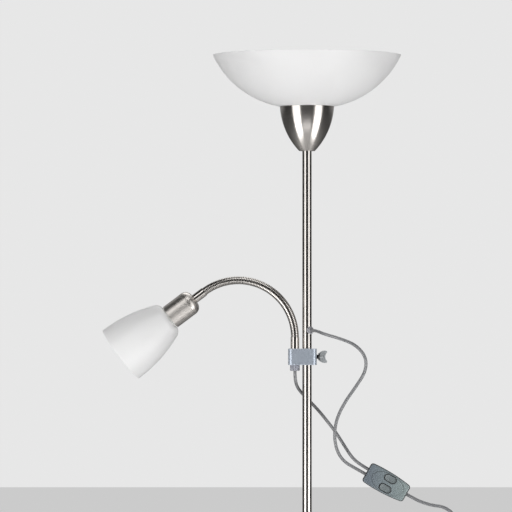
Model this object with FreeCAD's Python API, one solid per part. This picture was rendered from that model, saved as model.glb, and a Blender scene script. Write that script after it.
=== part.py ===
import FreeCAD, Part
import math
import os

# Torchiere floor lamp with a reading light on a gooseneck, in millimetres.
# Z points up, the floor is at Z 0 and the pole stands on the Z axis. X runs to the right and
# Y away from someone who faces the lamp. Each function makes the solids of one sub-part, or of
# a family of them, where they stand.

Vector = FreeCAD.Vector
UP = Vector(0, 0, 1)
ORIGIN = Vector(0, 0, 0)

# ---- Fits -------------------------------------------------------------------------------
running_gap = 0.15
screwed_gap = 0.05
cord_hole_gap = 0.25

# ---- Base -------------------------------------------------------------------------------
base_radius = 125.0
base_edge_height = 20.0
base_edge_round = 7.0
base_edge_drop = 1.5
base_height = 29.0
base_wall = 1.2
felt_height = 2.0
felt_radius = 119.0
weight_radius = 117.0
weight_height = 14.0
weight_boss_radius = 24.0
base_collar_radius = 17.0
base_collar_height = 7.0
base_collar_waist = 3.2
base_collar_lip = 2.6
base_stud_length = 46.0
base_nut_across = 17.0
base_nut_height = 5.0
base_washer_radius = 14.0
base_washer_height = 2.0
base_recess_radius = 18.0
base_recess_height = 12.0

# ---- Pole -------------------------------------------------------------------------------
pole_radius = 8.0
pole_wall = 1.0
lower_section_length = 484.0
upper_section_length = 640.0
insert_length = 22.0
stud_radius = 5.0
stud_bore = 3.5
stud_length = 30.0
grommet_height = 1332.0
grommet_radius = 6.5
grommet_stand_off = 10.3
grommet_waist_radius = 4.4
grommet_turn = -45.0
grommet_edge_radius = 1.4
lead_bend_radius = 8.0

# ---- Uplight ----------------------------------------------------------------------------
cup_height = 76.0
cup_mouth_radius = 46.0
cup_middle_radius = 37.8
cup_middle_share = 0.5
cup_foot_radius = 13.4
cup_wall = 1.2
cup_lip_gap = 0.3
bowl_radius = 160.0
bowl_depth = 87.0
bowl_foot_radius = 47.5
bowl_wall = 4.0
bowl_hole_radius = 20.5
bowl_curve_radius = 156.0
gallery_wall = 1.0
gallery_gap = 1.4
gallery_lip = 0.4
gallery_rim_height = 7.0
holder_thread_radius = 19.6
holder_base_radius = 16.5
holder_wall = 2.4
holder_base_height = 22.0
holder_base_draft = 0.6
holder_thread_step = 3.0
uplight_holder_height = 60.0
uplight_holder_sink = 46.0
uplight_nut_across = 15.0
uplight_nut_height = 5.0
uplight_ring_radius = 29.0
uplight_ring_height = 9.0
contact_thickness = 0.6
contact_width = 4.0
contact_tip_rise = 4.0
contact_side_rise = 9.0
large_cap_radius = 13.0
large_cap_height = 27.0
large_globe_radius = 28.0
large_globe_height = 66.0

# ---- Clamp on the pole ------------------------------------------------------------------
clamp_height = 1273.2
block_height = 27.7
block_left = 32.1
block_right = 16.5
block_depth = 26.5
block_corner_radius = 7.3
block_edge_radius = 1.0
bush_wall = 3.0
bush_slot = 2.4
neck_offset = 20.6
shank_radius = 3.4
shank_stand_off = 2.7
wing_collar_radius = 6.4
wing_collar_length = 2.8
wing_collar_wall = 1.0
wing_hub_radius = 4.8
wing_hub_length = 7.0
wing_length = 13.2
wing_foot_span = 14.0
wing_span = 21.0
wing_thickness = 4.2
gland_radius = 8.3
gland_height = 10.1
gland_stub = 6.0
gland_stub_radius = 5.5
gland_rib_count = 10
gland_rib_radius = 1.0

# ---- Gooseneck --------------------------------------------------------------------------
sleeve_radius = 7.25
sleeve_length = 19.5
sleeve_seat = 13.0
sleeve_bore = 4.5
hose_crest_radius = 6.7
hose_root_radius = 5.7
hose_bore = 4.2
hose_end_radius = 6.0
hose_end_length = 8.0
neck_bend_radius = 96.7
neck_sweep = 126.8
neck_yaw = 5.0
lower_share = 0.32
middle_share = 0.36
rib_count = 76
ferrule_radius = 7.65
ferrule_length = 21.0
spigot_length = 14.0

# ---- Reading head, along its own axis from the end of the gooseneck ---------------------
reading_cup_radius = 21.3
reading_cup_length = 51.0
reading_cup_round = 13.0
reading_cup_wall = 1.2
reading_nut_across = 15.0
reading_nut_height = 4.0
reading_holder_length = 62.0
reading_thread_radius = 13.8
reading_holder_wall = 2.2
reading_holder_base = 33.0
reading_ring_radius = 19.5
reading_ring_height = 7.0
shade_gap = 2.0
shade_seat_height = 6.0
shade_length = 104.4
shade_hole_radius = 14.6
shade_flat_radius = 20.4
shade_shoulder_length = 7.6
shade_shoulder_radius = 32.0
shade_middle_radius = 46.0
shade_mouth_radius = 51.2
shade_wall = 3.0
small_cap_radius = 6.9
small_cap_height = 22.0
small_globe_radius = 22.5
small_globe_height = 52.0

# ---- Double switch in the lead ----------------------------------------------------------
switch_length = 75.0
switch_width_in = 34.0
switch_width_middle = 36.4
switch_width_out = 28.5
switch_height = 20.0
switch_corner = 4.5
switch_edge_radius = 1.8
switch_wall = 2.0
switch_centre = Vector(135.0, -8.0, 1073.1)
switch_slope = 29.7
switch_oval_length = 56.0
switch_oval_width = 31.6
switch_oval_rise = 1.2
port_spacing = 9.2
cord_grip = 7.0
rocker_length = 20.3
rocker_width = 10.7
rocker_spacing = 18.4
rocker_offset = 1.7
rocker_rise = 1.6
rocker_tilt = 6.0
rocker_gap = 0.5
rocker_face_radius = 60.0
rocker_face_depth = 0.9
rocker_nose_radius = 1.4
rocker_nose_foot = 0.4
rocker_skirt = 2.0
lug_thickness = 1.2
lug_drop = 2.4
pivot_radius = 1.2
pivot_length = 1.1
pivot_depth = 2.6
case_screw_radius = 1.6
case_screw_head_radius = 2.8
case_screw_head_sink = 0.3
case_screw_from_in = 15.0
case_screw_from_out = 18.0
case_post_radius = 3.4
case_post_floor = 1.4
case_post_root = 0.2
terminal_length = 6.0
terminal_width = 5.0
terminal_height = 6.0
terminal_hole_radius = 1.0
terminal_reach = 7.5
spring_length = 9.0
spring_place = -5.5
spring_tip_radius = 1.4
spring_tip_height = 1.2
spring_tip_place = -2.2
saddle_gap = 1.0
saddle_play = 0.1

# ---- Cords ------------------------------------------------------------------------------
cord_diameter = 5.4
coil_centre = Vector(190.0, 20.0, 0.0)
coil_outer_radius = 36.0
coil_pitch = 6.0
coil_layer_turns = 2.0
coil_climb_turns = 0.5
coil_tail_length = 34.0

# ---- Plug -------------------------------------------------------------------------------
plug_width = 35.3
plug_thickness = 13.7
plug_length = 34.0
plug_neck_width = 13.0
plug_relief_length = 20.0
plug_relief_radius = 4.2
pin_radius = 2.0
pin_length = 19.0
pin_tip_round = 1.0
pin_neck_radius = 1.8
pin_neck_length = 9.0
pin_spacing = 19.0
pin_seat = 8.0
plug_grip = 10.0
plug_edge_radius = 2.0
plug_relief_tip = 3.4
plug_shoulder_length = 15.0
plug_shoulder_radius = 12.0
plug_corner_radius = 3.0

# ---- Places that follow from the sizes above --------------------------------------------
cord_radius = cord_diameter / 2
pole_bore = pole_radius - pole_wall
pole_foot = base_height
first_joint = pole_foot + lower_section_length
second_joint = first_joint + lower_section_length
pole_top = second_joint + upper_section_length
cup_top = pole_top + cup_height
rim_height = cup_top + bowl_depth
bush_outer = pole_radius + running_gap + bush_wall
block_bore = bush_outer + running_gap
block_middle = clamp_height + block_height / 2
block_top = clamp_height + block_height
neck_foot = Vector(-neck_offset, 0, block_top + sleeve_length)
neck_outward = Vector(-math.cos(math.radians(neck_yaw)), math.sin(math.radians(neck_yaw)), 0)
neck_square = UP.cross(neck_outward)
neck_centre = neck_foot + neck_outward * neck_bend_radius
holder_foot = cup_top - uplight_holder_sink
holder_floor = holder_foot + holder_base_height
coil_turns = 2 * coil_layer_turns + coil_climb_turns
switch_plan = FreeCAD.Placement(
    switch_centre,
    FreeCAD.Rotation(
        Vector(math.cos(math.radians(switch_slope)), 0, -math.sin(math.radians(switch_slope))),
        Vector(math.sin(math.radians(switch_slope)), 0, math.cos(math.radians(switch_slope))),
        Vector(0, -1, 0),
        "ZXY",
    ),
)


# ---- Ways of making solids --------------------------------------------------------------
def rod(radius, low, high):
    """Upright cylinder about the Z axis."""
    return Part.makeCylinder(radius, high - low, Vector(0, 0, low))


def tube(outer, inner, low, high):
    """Upright tube about the Z axis."""
    return rod(outer, low, high).cut(rod(inner, low - 1, high + 1))


def hexagon(across, bore, low, high):
    """Upright hexagon nut about the Z axis."""
    reach = across / math.sqrt(3)
    corners = [
        Vector(reach * math.cos(k * math.pi / 3), reach * math.sin(k * math.pi / 3), low)
        for k in range(7)
    ]
    prism = Part.Face(Part.makePolygon(corners)).extrude(Vector(0, 0, high - low))
    return prism.cut(rod(bore, low - 1, high + 1))


class Outline:
    """Outline in the XZ plane, drawn with straight lines and three-point arcs."""

    def __init__(self, x, z):
        self.start = Vector(x, 0, z)
        self.end = self.start
        self.edges = []

    def line(self, x, z):
        target = Vector(x, 0, z)
        self.edges.append(Part.LineSegment(self.end, target).toShape())
        self.end = target
        return self

    def arc(self, through, target):
        middle = Vector(through[0], 0, through[1])
        target = Vector(target[0], 0, target[1])
        self.edges.append(Part.Arc(self.end, middle, target).toShape())
        self.end = target
        return self

    def turned(self):
        """Solid of revolution of the closed outline."""
        self.line(self.start.x, self.start.z)
        return Part.Face(Part.Wire(self.edges)).revolve(ORIGIN, UP, 360)

    def turned_sheet(self, wall, top=None):
        """Solid of revolution of a sheet on the left of the outline, or right if negative."""
        strip = Part.Wire(self.edges).makeOffset2D(wall, 0, True, True)
        if top is not None:
            reach = 2 * self.end.x
            over = Part.makeBox(reach, reach, reach, Vector(0, -reach / 2, top))
            strip = strip.cut(over).Faces[0]
        return strip.revolve(ORIGIN, UP, 360)


def moved(shapes, placement):
    """Copies of solids that were drawn about the Z axis, at their place."""
    return [shape.transformed(placement.toMatrix(), True) for shape in shapes]


def arc_middle(start, way, end):
    """Middle point of the circular arc that leaves a point in a direction and ends at another."""
    chord = end - start
    across = chord - way * chord.dot(way)
    across.normalize()
    radius = chord.dot(chord) / (2 * chord.dot(across))
    centre = start + across * radius
    return centre + ((start + end) * 0.5 - centre).normalize() * radius


def biarc(start, start_way, end, end_way):
    """Two tangent arcs between two points with given directions."""
    chord = end - start
    a = 2 * (1 - start_way.dot(end_way))
    b = 2 * chord.dot(start_way + end_way)
    c = chord.dot(chord)
    reach = 2 * c / (b + math.sqrt(b * b + 4 * a * c))
    joint = (start + start_way * reach + end - end_way * reach) * 0.5
    first = Part.Arc(start, arc_middle(start, start_way, joint), joint)
    last = Part.Arc(joint, arc_middle(end, end_way * -1, joint), end)
    return [first.toShape(), last.toShape()]


def cord_path(route):
    """Straight runs joined by arcs as large as the runs allow, and the arcs' radii."""
    points = [Vector(*point) for point in route]
    edges = []
    radii = []
    here = points[0]
    for before, corner, after in zip(points, points[1:], points[2:]):
        way_in = (corner - before).normalize()
        way_out = (after - corner).normalize()
        half_turn = way_in.getAngle(way_out) / 2
        reach = 0.45 * min((corner - before).Length, (after - corner).Length)
        radius = reach / math.tan(half_turn)
        start = corner - way_in * reach
        end = corner + way_out * reach
        inward = (way_out - way_in).normalize()
        sagitta = radius / math.cos(half_turn) - radius
        edges.append(Part.LineSegment(here, start).toShape())
        edges.append(Part.Arc(start, corner + inward * sagitta, end).toShape())
        radii.append(radius)
        here = end
    edges.append(Part.LineSegment(here, points[-1]).toShape())
    return Part.Wire(edges), radii


def swept(path, start, way):
    """Round cord along a path that leaves a point in a direction."""
    ring = Part.Wire(Part.Circle(start, way, cord_radius).toShape())
    return path.makePipeShell([ring], True, False)


def cord(name, route):
    """Round cord along a route, with its radii and its volume against its length printed."""
    path, radii = cord_path(route)
    start = Vector(*route[0])
    solid = swept(path, start, (Vector(*route[1]) - start).normalize())
    expected = math.pi * cord_radius ** 2 * path.Length
    print(
        f"{name}: {path.Length:.0f} mm long, least radius {min(radii):.0f}, "
        f"volume {solid.Volume / expected:.4f} of section times length"
    )
    return solid


# ---- Base -------------------------------------------------------------------------------
def base():
    """Felt, cast weight, spun cover, collar, and the stud with its nut and washer."""
    weight_top = felt_height + weight_height
    cover_inside = base_height - base_collar_height - base_wall
    felt = rod(felt_radius, 0, felt_height)
    weight = rod(weight_radius, felt_height, weight_top)
    weight = weight.fuse(rod(weight_boss_radius, weight_top, cover_inside)).removeSplitter()
    weight = weight.cut(rod(base_recess_radius, felt_height - 1, base_recess_height))
    weight = weight.cut(rod(stud_radius + screwed_gap, felt_height, cover_inside + 1))
    seat = base_height - base_collar_height
    round_centre = (base_radius - base_edge_round, base_edge_height - base_edge_drop - base_edge_round)
    round_share = base_edge_round * math.sqrt(0.5)
    cover = (
        Outline(stud_radius + screwed_gap, seat)
        .line(weight_boss_radius, seat)
        .arc(
            (0.62 * base_radius, base_edge_height + 0.68 * (seat - base_edge_height)),
            (round_centre[0], base_edge_height - base_edge_drop),
        )
        .arc(
            (round_centre[0] + round_share, round_centre[1] + round_share),
            (base_radius, round_centre[1]),
        )
        .line(base_radius, felt_height / 2)
        .turned_sheet(-base_wall)
    )
    collar = (
        Outline(stud_radius + screwed_gap, seat)
        .line(base_collar_radius, seat)
        .arc(
            (base_collar_radius - base_collar_waist, seat + 0.45 * base_collar_height),
            (pole_radius + base_collar_lip, base_height),
        )
        .line(stud_radius + screwed_gap, base_height)
        .turned()
    )
    recess_top = base_recess_height
    washer = tube(
        base_washer_radius, stud_radius + screwed_gap, recess_top - base_washer_height, recess_top
    )
    nut_top = recess_top - base_washer_height
    nut = hexagon(base_nut_across, stud_radius + screwed_gap, nut_top - base_nut_height, nut_top)
    stud_foot = nut_top - base_nut_height - 1
    stud = tube(stud_radius, stud_bore, stud_foot, stud_foot + base_stud_length)
    return {
        "base_felt": [felt],
        "base_weight": [weight],
        "base_cover": [cover],
        "base_collar": [collar],
        "base_washer": [washer],
        "base_nut": [nut],
        "base_stud": [stud],
    }


# ---- Pole -------------------------------------------------------------------------------
def flat_rod(radius, near, far):
    """Cylinder along the X axis."""
    return Part.makeCylinder(radius, far - near, Vector(near, 0, 0), Vector(1, 0, 0))


def at_grommet(shape):
    """A solid drawn about the X axis, turned to where the grommet looks."""
    turn = FreeCAD.Rotation(UP, grommet_turn)
    return moved([shape], FreeCAD.Placement(Vector(0, 0, grommet_height), turn))[0]


def pole():
    """Three tubes, their inserts and studs, the grommet and the lead inside."""
    hole = at_grommet(flat_rod(grommet_waist_radius + screwed_gap, 0, pole_radius + 2))
    upper = tube(pole_radius, pole_bore, second_joint, pole_top).cut(hole)
    insert_feet = [pole_foot, pole_top - insert_length]
    for joint in (first_joint, second_joint):
        insert_feet += [joint - insert_length, joint]
    inserts = [
        tube(pole_bore - screwed_gap, stud_radius + screwed_gap, low, low + insert_length)
        for low in insert_feet
    ]
    studs = [
        tube(stud_radius, stud_bore, joint - stud_length / 2, joint + stud_length / 2)
        for joint in (first_joint, second_joint)
    ]
    flange = flat_rod(grommet_radius, 0, grommet_stand_off)
    front_edge = [e for e in flange.Edges if e.BoundBox.XMin > grommet_stand_off - 0.1]
    flange = at_grommet(flange.makeFillet(grommet_edge_radius, front_edge))
    around_pole = rod(pole_radius + screwed_gap, grommet_height - 20, grommet_height + 20)
    waist = at_grommet(flat_rod(grommet_waist_radius, pole_bore - 0.5, pole_radius + 1))
    bore = at_grommet(flat_rod(cord_radius + cord_hole_gap, 0, grommet_stand_off + 1))
    grommet = flange.cut(around_pole).fuse(waist).removeSplitter().cut(bore)
    lead = rod(cord_radius, grommet_height + lead_bend_radius, holder_floor - 1)
    bend_face = Part.Face(
        Part.Wire(
            Part.Circle(Vector(0, 0, lead_bend_radius), UP, cord_radius).toShape()
        )
    )
    bend_axis = Vector(lead_bend_radius, 0, lead_bend_radius)
    bend = at_grommet(bend_face.revolve(bend_axis, Vector(0, -1, 0), 90))
    return {
        "pole_lower": [tube(pole_radius, pole_bore, pole_foot, first_joint)],
        "pole_middle": [tube(pole_radius, pole_bore, first_joint, second_joint)],
        "pole_upper": [upper],
        "pole_inserts": inserts,
        "pole_studs": studs,
        "pole_grommet": [grommet],
        "pole_lead": [lead.fuse(bend).removeSplitter()],
    }


# ---- Uplight ----------------------------------------------------------------------------
def bowl_outline():
    """Underside of the bowl: a flat foot and one wide arc, drawn on past the ground rim."""
    reach = bowl_radius - bowl_foot_radius
    middle_slope = math.atan2(bowl_depth, reach)
    half = math.asin(math.hypot(reach, bowl_depth) / (2 * bowl_curve_radius))
    foot_slope = middle_slope - half
    end_slope = middle_slope + half + 2 * bowl_wall / bowl_curve_radius
    centre_x = bowl_foot_radius - bowl_curve_radius * math.sin(foot_slope)
    centre_z = cup_top + bowl_curve_radius * math.cos(foot_slope)

    def on_arc(slope):
        return (
            centre_x + bowl_curve_radius * math.sin(slope),
            centre_z - bowl_curve_radius * math.cos(slope),
        )

    outline = Outline(bowl_hole_radius, cup_top).line(bowl_foot_radius, cup_top)
    return outline.arc(on_arc(middle_slope), on_arc(end_slope))


def contacts(floor, foot, bore, cap_radius):
    """Springy centre tongue and side strip of a lamp holder, each with its leg."""
    thick = contact_thickness
    wide = contact_width
    rise = foot - floor
    near = -0.6 * bore
    tongue = Part.makeBox(bore, wide, thick, Vector(near, -wide / 2, foot - thick))
    leg = Part.makeBox(thick, wide, rise, Vector(near, -wide / 2, floor))
    side = cap_radius + running_gap
    strip = Part.makeBox(thick, wide, rise + contact_side_rise, Vector(side, -wide / 2, floor))
    tab_length = bore - side - 2 * running_gap
    tab = Part.makeBox(tab_length, wide, thick, Vector(side, -wide / 2, floor))
    return [tongue.fuse(leg).removeSplitter(), strip.fuse(tab).removeSplitter()]


def screw_cap(radius, height, low):
    """Bulb cap: a screw shell with rounded ribs and a narrower insulated tip."""
    outline = Outline(0, low).line(0.35 * radius, low)
    outline.line(0.42 * radius, low + 0.06 * height)
    outline.line(0.86 * radius, low + 0.2 * height)
    ribs = 4
    pitch = 0.62 * height / ribs
    for k in range(ribs):
        foot = low + 0.2 * height + k * pitch
        outline.line(radius, foot + pitch / 2)
        outline.line(0.88 * radius, foot + pitch)
    outline.line(0.95 * radius, low + height)
    return outline.line(0, low + height).turned()


def bulb_globe(neck_radius, neck_height, radius, height, low):
    """Frosted bulb glass: a narrow neck, then a cone that runs smoothly into a sphere."""
    shoulder = Vector(neck_radius, 0, low + neck_height)
    middle = Vector(0, 0, low + height - radius)
    away = shoulder - middle
    turn = math.acos(radius / away.Length) + math.atan2(away.z, away.x)
    outline = Outline(0, low).line(neck_radius, low).line(shoulder.x, shoulder.z)
    outline.line(middle.x + radius * math.cos(turn), middle.z + radius * math.sin(turn))
    half_way = (turn + math.pi / 2) / 2
    outline.arc(
        (radius * math.cos(half_way), middle.z + radius * math.sin(half_way)),
        (0, low + height),
    )
    return outline.turned()


def uplight():
    """Cup, holder, glass bowl and bulb at the top of the pole."""
    cup = Outline(stud_radius + screwed_gap, pole_top)
    cup.line(cup_foot_radius, pole_top)
    cup.arc(
        (cup_middle_radius, pole_top + cup_middle_share * cup_height),
        (cup_mouth_radius, cup_top - cup_lip_gap),
    )
    floor = pole_top + cup_wall
    nipple = tube(stud_radius, stud_bore, pole_top - stud_length / 2, holder_floor - 1)
    nuts = [
        hexagon(uplight_nut_across, stud_radius + screwed_gap, low, low + uplight_nut_height)
        for low in (floor, holder_foot - uplight_nut_height)
    ]
    base_top = holder_floor
    holder_top = holder_foot + uplight_holder_height
    inner = holder_thread_radius - holder_wall
    holder = (
        Outline(stud_radius + screwed_gap, holder_foot)
        .line(holder_base_radius, holder_foot)
        .line(holder_base_radius + holder_base_draft, base_top)
        .line(holder_thread_radius, base_top + holder_thread_step)
        .line(holder_thread_radius, holder_top)
        .line(inner, holder_top)
        .line(inner, base_top)
        .line(stud_radius + screwed_gap, base_top)
        .turned()
    )
    cap_foot = base_top + contact_tip_rise
    gallery_radius = cup_mouth_radius - cup_wall - gallery_gap
    gallery = (
        Outline(bowl_hole_radius - gallery_lip, cup_top)
        .line(gallery_radius, cup_top)
        .line(gallery_radius, cup_top - gallery_rim_height)
        .turned_sheet(-gallery_wall)
    )
    ring_foot = cup_top + bowl_wall
    ring = tube(
        uplight_ring_radius,
        holder_thread_radius + screwed_gap,
        ring_foot,
        ring_foot + uplight_ring_height,
    )
    globe_foot = cap_foot + large_cap_height
    return {
        "uplight_cup": [cup.turned_sheet(cup_wall)],
        "uplight_nipple": [nipple],
        "uplight_nuts": nuts,
        "uplight_holder": [holder],
        "uplight_contacts": contacts(base_top, cap_foot, inner, large_cap_radius),
        "uplight_gallery": [gallery],
        "uplight_ring": [ring],
        "bowl_shade": [bowl_outline().turned_sheet(bowl_wall, rim_height)],
        "uplight_bulb_cap": [screw_cap(large_cap_radius, large_cap_height, cap_foot)],
        "uplight_bulb_globe": [
            bulb_globe(
                0.95 * large_cap_radius,
                holder_top - globe_foot,
                large_globe_radius,
                large_globe_height,
                globe_foot,
            )
        ],
    }


# ---- Clamp on the pole ------------------------------------------------------------------
def clamp():
    """Split bush, moulded block, screw, wing and the gland of the lead."""
    bush = tube(bush_outer, pole_radius + running_gap, clamp_height, block_top)
    slot = Part.makeBox(
        bush_slot, bush_outer * 2, block_height + 2,
        Vector(-bush_slot / 2, 0, clamp_height - 1),
    )
    bush = bush.cut(slot)

    block = Part.makeBox(
        block_left + block_right, block_depth, block_height,
        Vector(-block_left, -block_depth / 2, clamp_height),
    )
    uprights = [e for e in block.Edges if e.BoundBox.ZLength > block_height - 1]
    block = block.makeFillet(block_corner_radius, uprights)
    brims = [e for e in block.Edges if e.BoundBox.ZLength < 0.01]
    block = block.makeFillet(block_edge_radius, brims)
    block = block.cut(rod(block_bore, clamp_height - 1, block_top + 1))
    seat_foot = block_top - sleeve_seat
    neck_axis = Vector(-neck_offset, 0, 0)
    for radius, low, high in (
        (sleeve_radius + screwed_gap, seat_foot, block_top + 1),
        (sleeve_bore, clamp_height + gland_stub - 1, seat_foot + 1),
        (gland_stub_radius + screwed_gap, clamp_height - 1, clamp_height + gland_stub),
    ):
        hole = rod(radius, low, high)
        hole.translate(neck_axis)
        block = block.cut(hole)
    screw_hole = flat_rod(shank_radius + running_gap, 0, block_right + 1)
    screw_hole.translate(Vector(0, 0, block_middle))
    block = block.cut(screw_hole)

    tip = bush_outer + running_gap
    collar_foot = block_right + shank_stand_off
    wing_foot = collar_foot + wing_collar_length - wing_collar_wall
    shank = flat_rod(shank_radius, tip, wing_foot)
    shank.translate(Vector(0, 0, block_middle))
    wing = wing_screw(collar_foot, wing_foot)

    gland = gland_body()
    gland.translate(neck_axis)
    return {
        "clamp_bush": [bush],
        "clamp_block": [block],
        "clamp_screw_shank": [shank],
        "clamp_wing": [wing],
        "cord_gland": [gland],
    }


def flat_cone(first_radius, last_radius, near, far):
    """Cone along the screw's axis."""
    return Part.makeCone(
        first_radius, last_radius, far - near, Vector(near, 0, block_middle), Vector(1, 0, 0)
    )


def wing_screw(collar_foot, wing_foot):
    """Butterfly head: a dished collar, a hub and two rounded wings in one upright plane."""
    wall = wing_collar_wall
    collar_end = collar_foot + wing_collar_length
    collar = flat_cone(wing_collar_radius, wing_hub_radius, collar_foot, collar_end)
    dish = flat_cone(wing_collar_radius - wall, wing_hub_radius - wall, collar_foot, wing_foot)
    half = wing_span / 2
    half_foot = wing_foot_span / 2

    def place(along, across_share):
        return wing_foot + along * wing_length, block_middle + across_share * half

    outline = Outline(wing_foot, block_middle - half_foot)
    outline.arc(place(0.35, -0.92), place(0.74, -1.0))
    outline.arc(place(0.95, -0.9), place(1.0, -0.7))
    outline.arc(place(0.76, 0.0), place(1.0, 0.7))
    outline.arc(place(0.95, 0.9), place(0.74, 1.0))
    outline.arc(place(0.35, 0.92), (wing_foot, block_middle + half_foot))
    outline.line(outline.start.x, outline.start.z)
    wings = Part.Face(Part.Wire(outline.edges)).extrude(Vector(0, wing_thickness, 0))
    wings.translate(Vector(0, -wing_thickness / 2, 0))
    hub = flat_cone(wing_hub_radius, 0.7 * wing_hub_radius, wing_foot, wing_foot + wing_hub_length)
    return collar.cut(dish).fuse([wings, hub]).removeSplitter()


def gland_body():
    """Ribbed strain relief about the Z axis, with a stub up into the block."""
    low = clamp_height - gland_height
    gland = rod(gland_radius - gland_rib_radius / 2, low, clamp_height)
    ribs = []
    for k in range(gland_rib_count):
        turn = 2 * math.pi * k / gland_rib_count
        rib = rod(gland_rib_radius, low + 1.0, clamp_height)
        reach = gland_radius - gland_rib_radius
        rib.translate(Vector(reach * math.cos(turn), reach * math.sin(turn), 0))
        ribs.append(rib)
    stub = rod(gland_stub_radius, clamp_height, clamp_height + gland_stub)
    gland = gland.fuse(ribs + [stub]).removeSplitter()
    return gland.cut(rod(cord_radius + cord_hole_gap, low - 1, clamp_height + gland_stub + 1))


# ---- Gooseneck --------------------------------------------------------------------------
def neck_place(angle, beyond=0.0):
    """Place on the gooseneck's arc, with Z along it and Y square to its plane."""
    bend = math.radians(angle)
    way = neck_outward * math.sin(bend) + UP * math.cos(bend)
    reach = neck_bend_radius * (1 - math.cos(bend))
    rise = neck_bend_radius * math.sin(bend)
    position = neck_foot + neck_outward * reach + UP * rise + way * beyond
    return FreeCAD.Placement(position, FreeCAD.Rotation(Vector(), neck_square, way, "ZYX"))


def neck_ring(radius, angle):
    """Circle across the gooseneck that starts on the same side all along it."""
    ring = Part.makeCircle(radius)
    ring.transformShape(neck_place(angle).toMatrix())
    return Part.Wire(ring)


def neck_hose(first, last):
    """Stretch of ribbed hose: a ruled loft through four circles a rib, bored through."""
    count = max(1, round(rib_count * (last - first) / neck_sweep))
    pitch = (last - first) / count
    rings = [neck_ring(hose_root_radius, first)]
    for k in range(count):
        foot = first + k * pitch
        for share, radius in (
            (0.22, hose_crest_radius),
            (0.68, hose_crest_radius),
            (0.9, hose_root_radius),
            (1.0, hose_root_radius),
        ):
            rings.append(neck_ring(radius, foot + share * pitch))
    core = Part.Face(neck_ring(hose_bore, first))
    core = core.revolve(neck_centre, neck_square, last - first)
    return Part.makeLoft(rings, True, True).cut(core)


def hose_end(angle, low, high):
    """Plain end of the hose, where a sleeve takes it."""
    return moved([tube(hose_end_radius, hose_bore, low, high)], neck_place(angle))[0]


def neck():
    """Lower sleeve, three stretches of hose and the ferrule that carries the head."""
    sleeve = tube(sleeve_radius, sleeve_bore, -sleeve_length - sleeve_seat, 0)
    socket = rod(hose_end_radius + running_gap, -hose_end_length - running_gap, 1)
    sleeve = moved([sleeve.cut(socket)], neck_place(0))[0]
    lower_end = neck_sweep * lower_share
    upper_start = neck_sweep * (lower_share + middle_share)
    lower = neck_hose(0, lower_end).fuse(hose_end(0, -hose_end_length, 0))
    upper = neck_hose(upper_start, neck_sweep).fuse(hose_end(neck_sweep, 0, hose_end_length))
    ferrule = (
        Outline(stud_bore, running_gap)
        .line(ferrule_radius, running_gap)
        .line(ferrule_radius, ferrule_length - 1)
        .line(ferrule_radius - 1, ferrule_length)
        .line(stud_radius, ferrule_length)
        .line(stud_radius, ferrule_length + spigot_length)
        .line(stud_bore, ferrule_length + spigot_length)
        .turned()
    )
    socket = rod(hose_end_radius + running_gap, 0, hose_end_length + running_gap)
    ferrule = moved([ferrule.cut(socket)], neck_place(neck_sweep))[0]
    return {
        "neck_sleeve_lower": [sleeve],
        "neck_hose_lower": [lower],
        "neck_hose_middle": [neck_hose(lower_end, upper_start)],
        "neck_hose_upper": [upper],
        "neck_ferrule_upper": [ferrule],
    }


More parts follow.
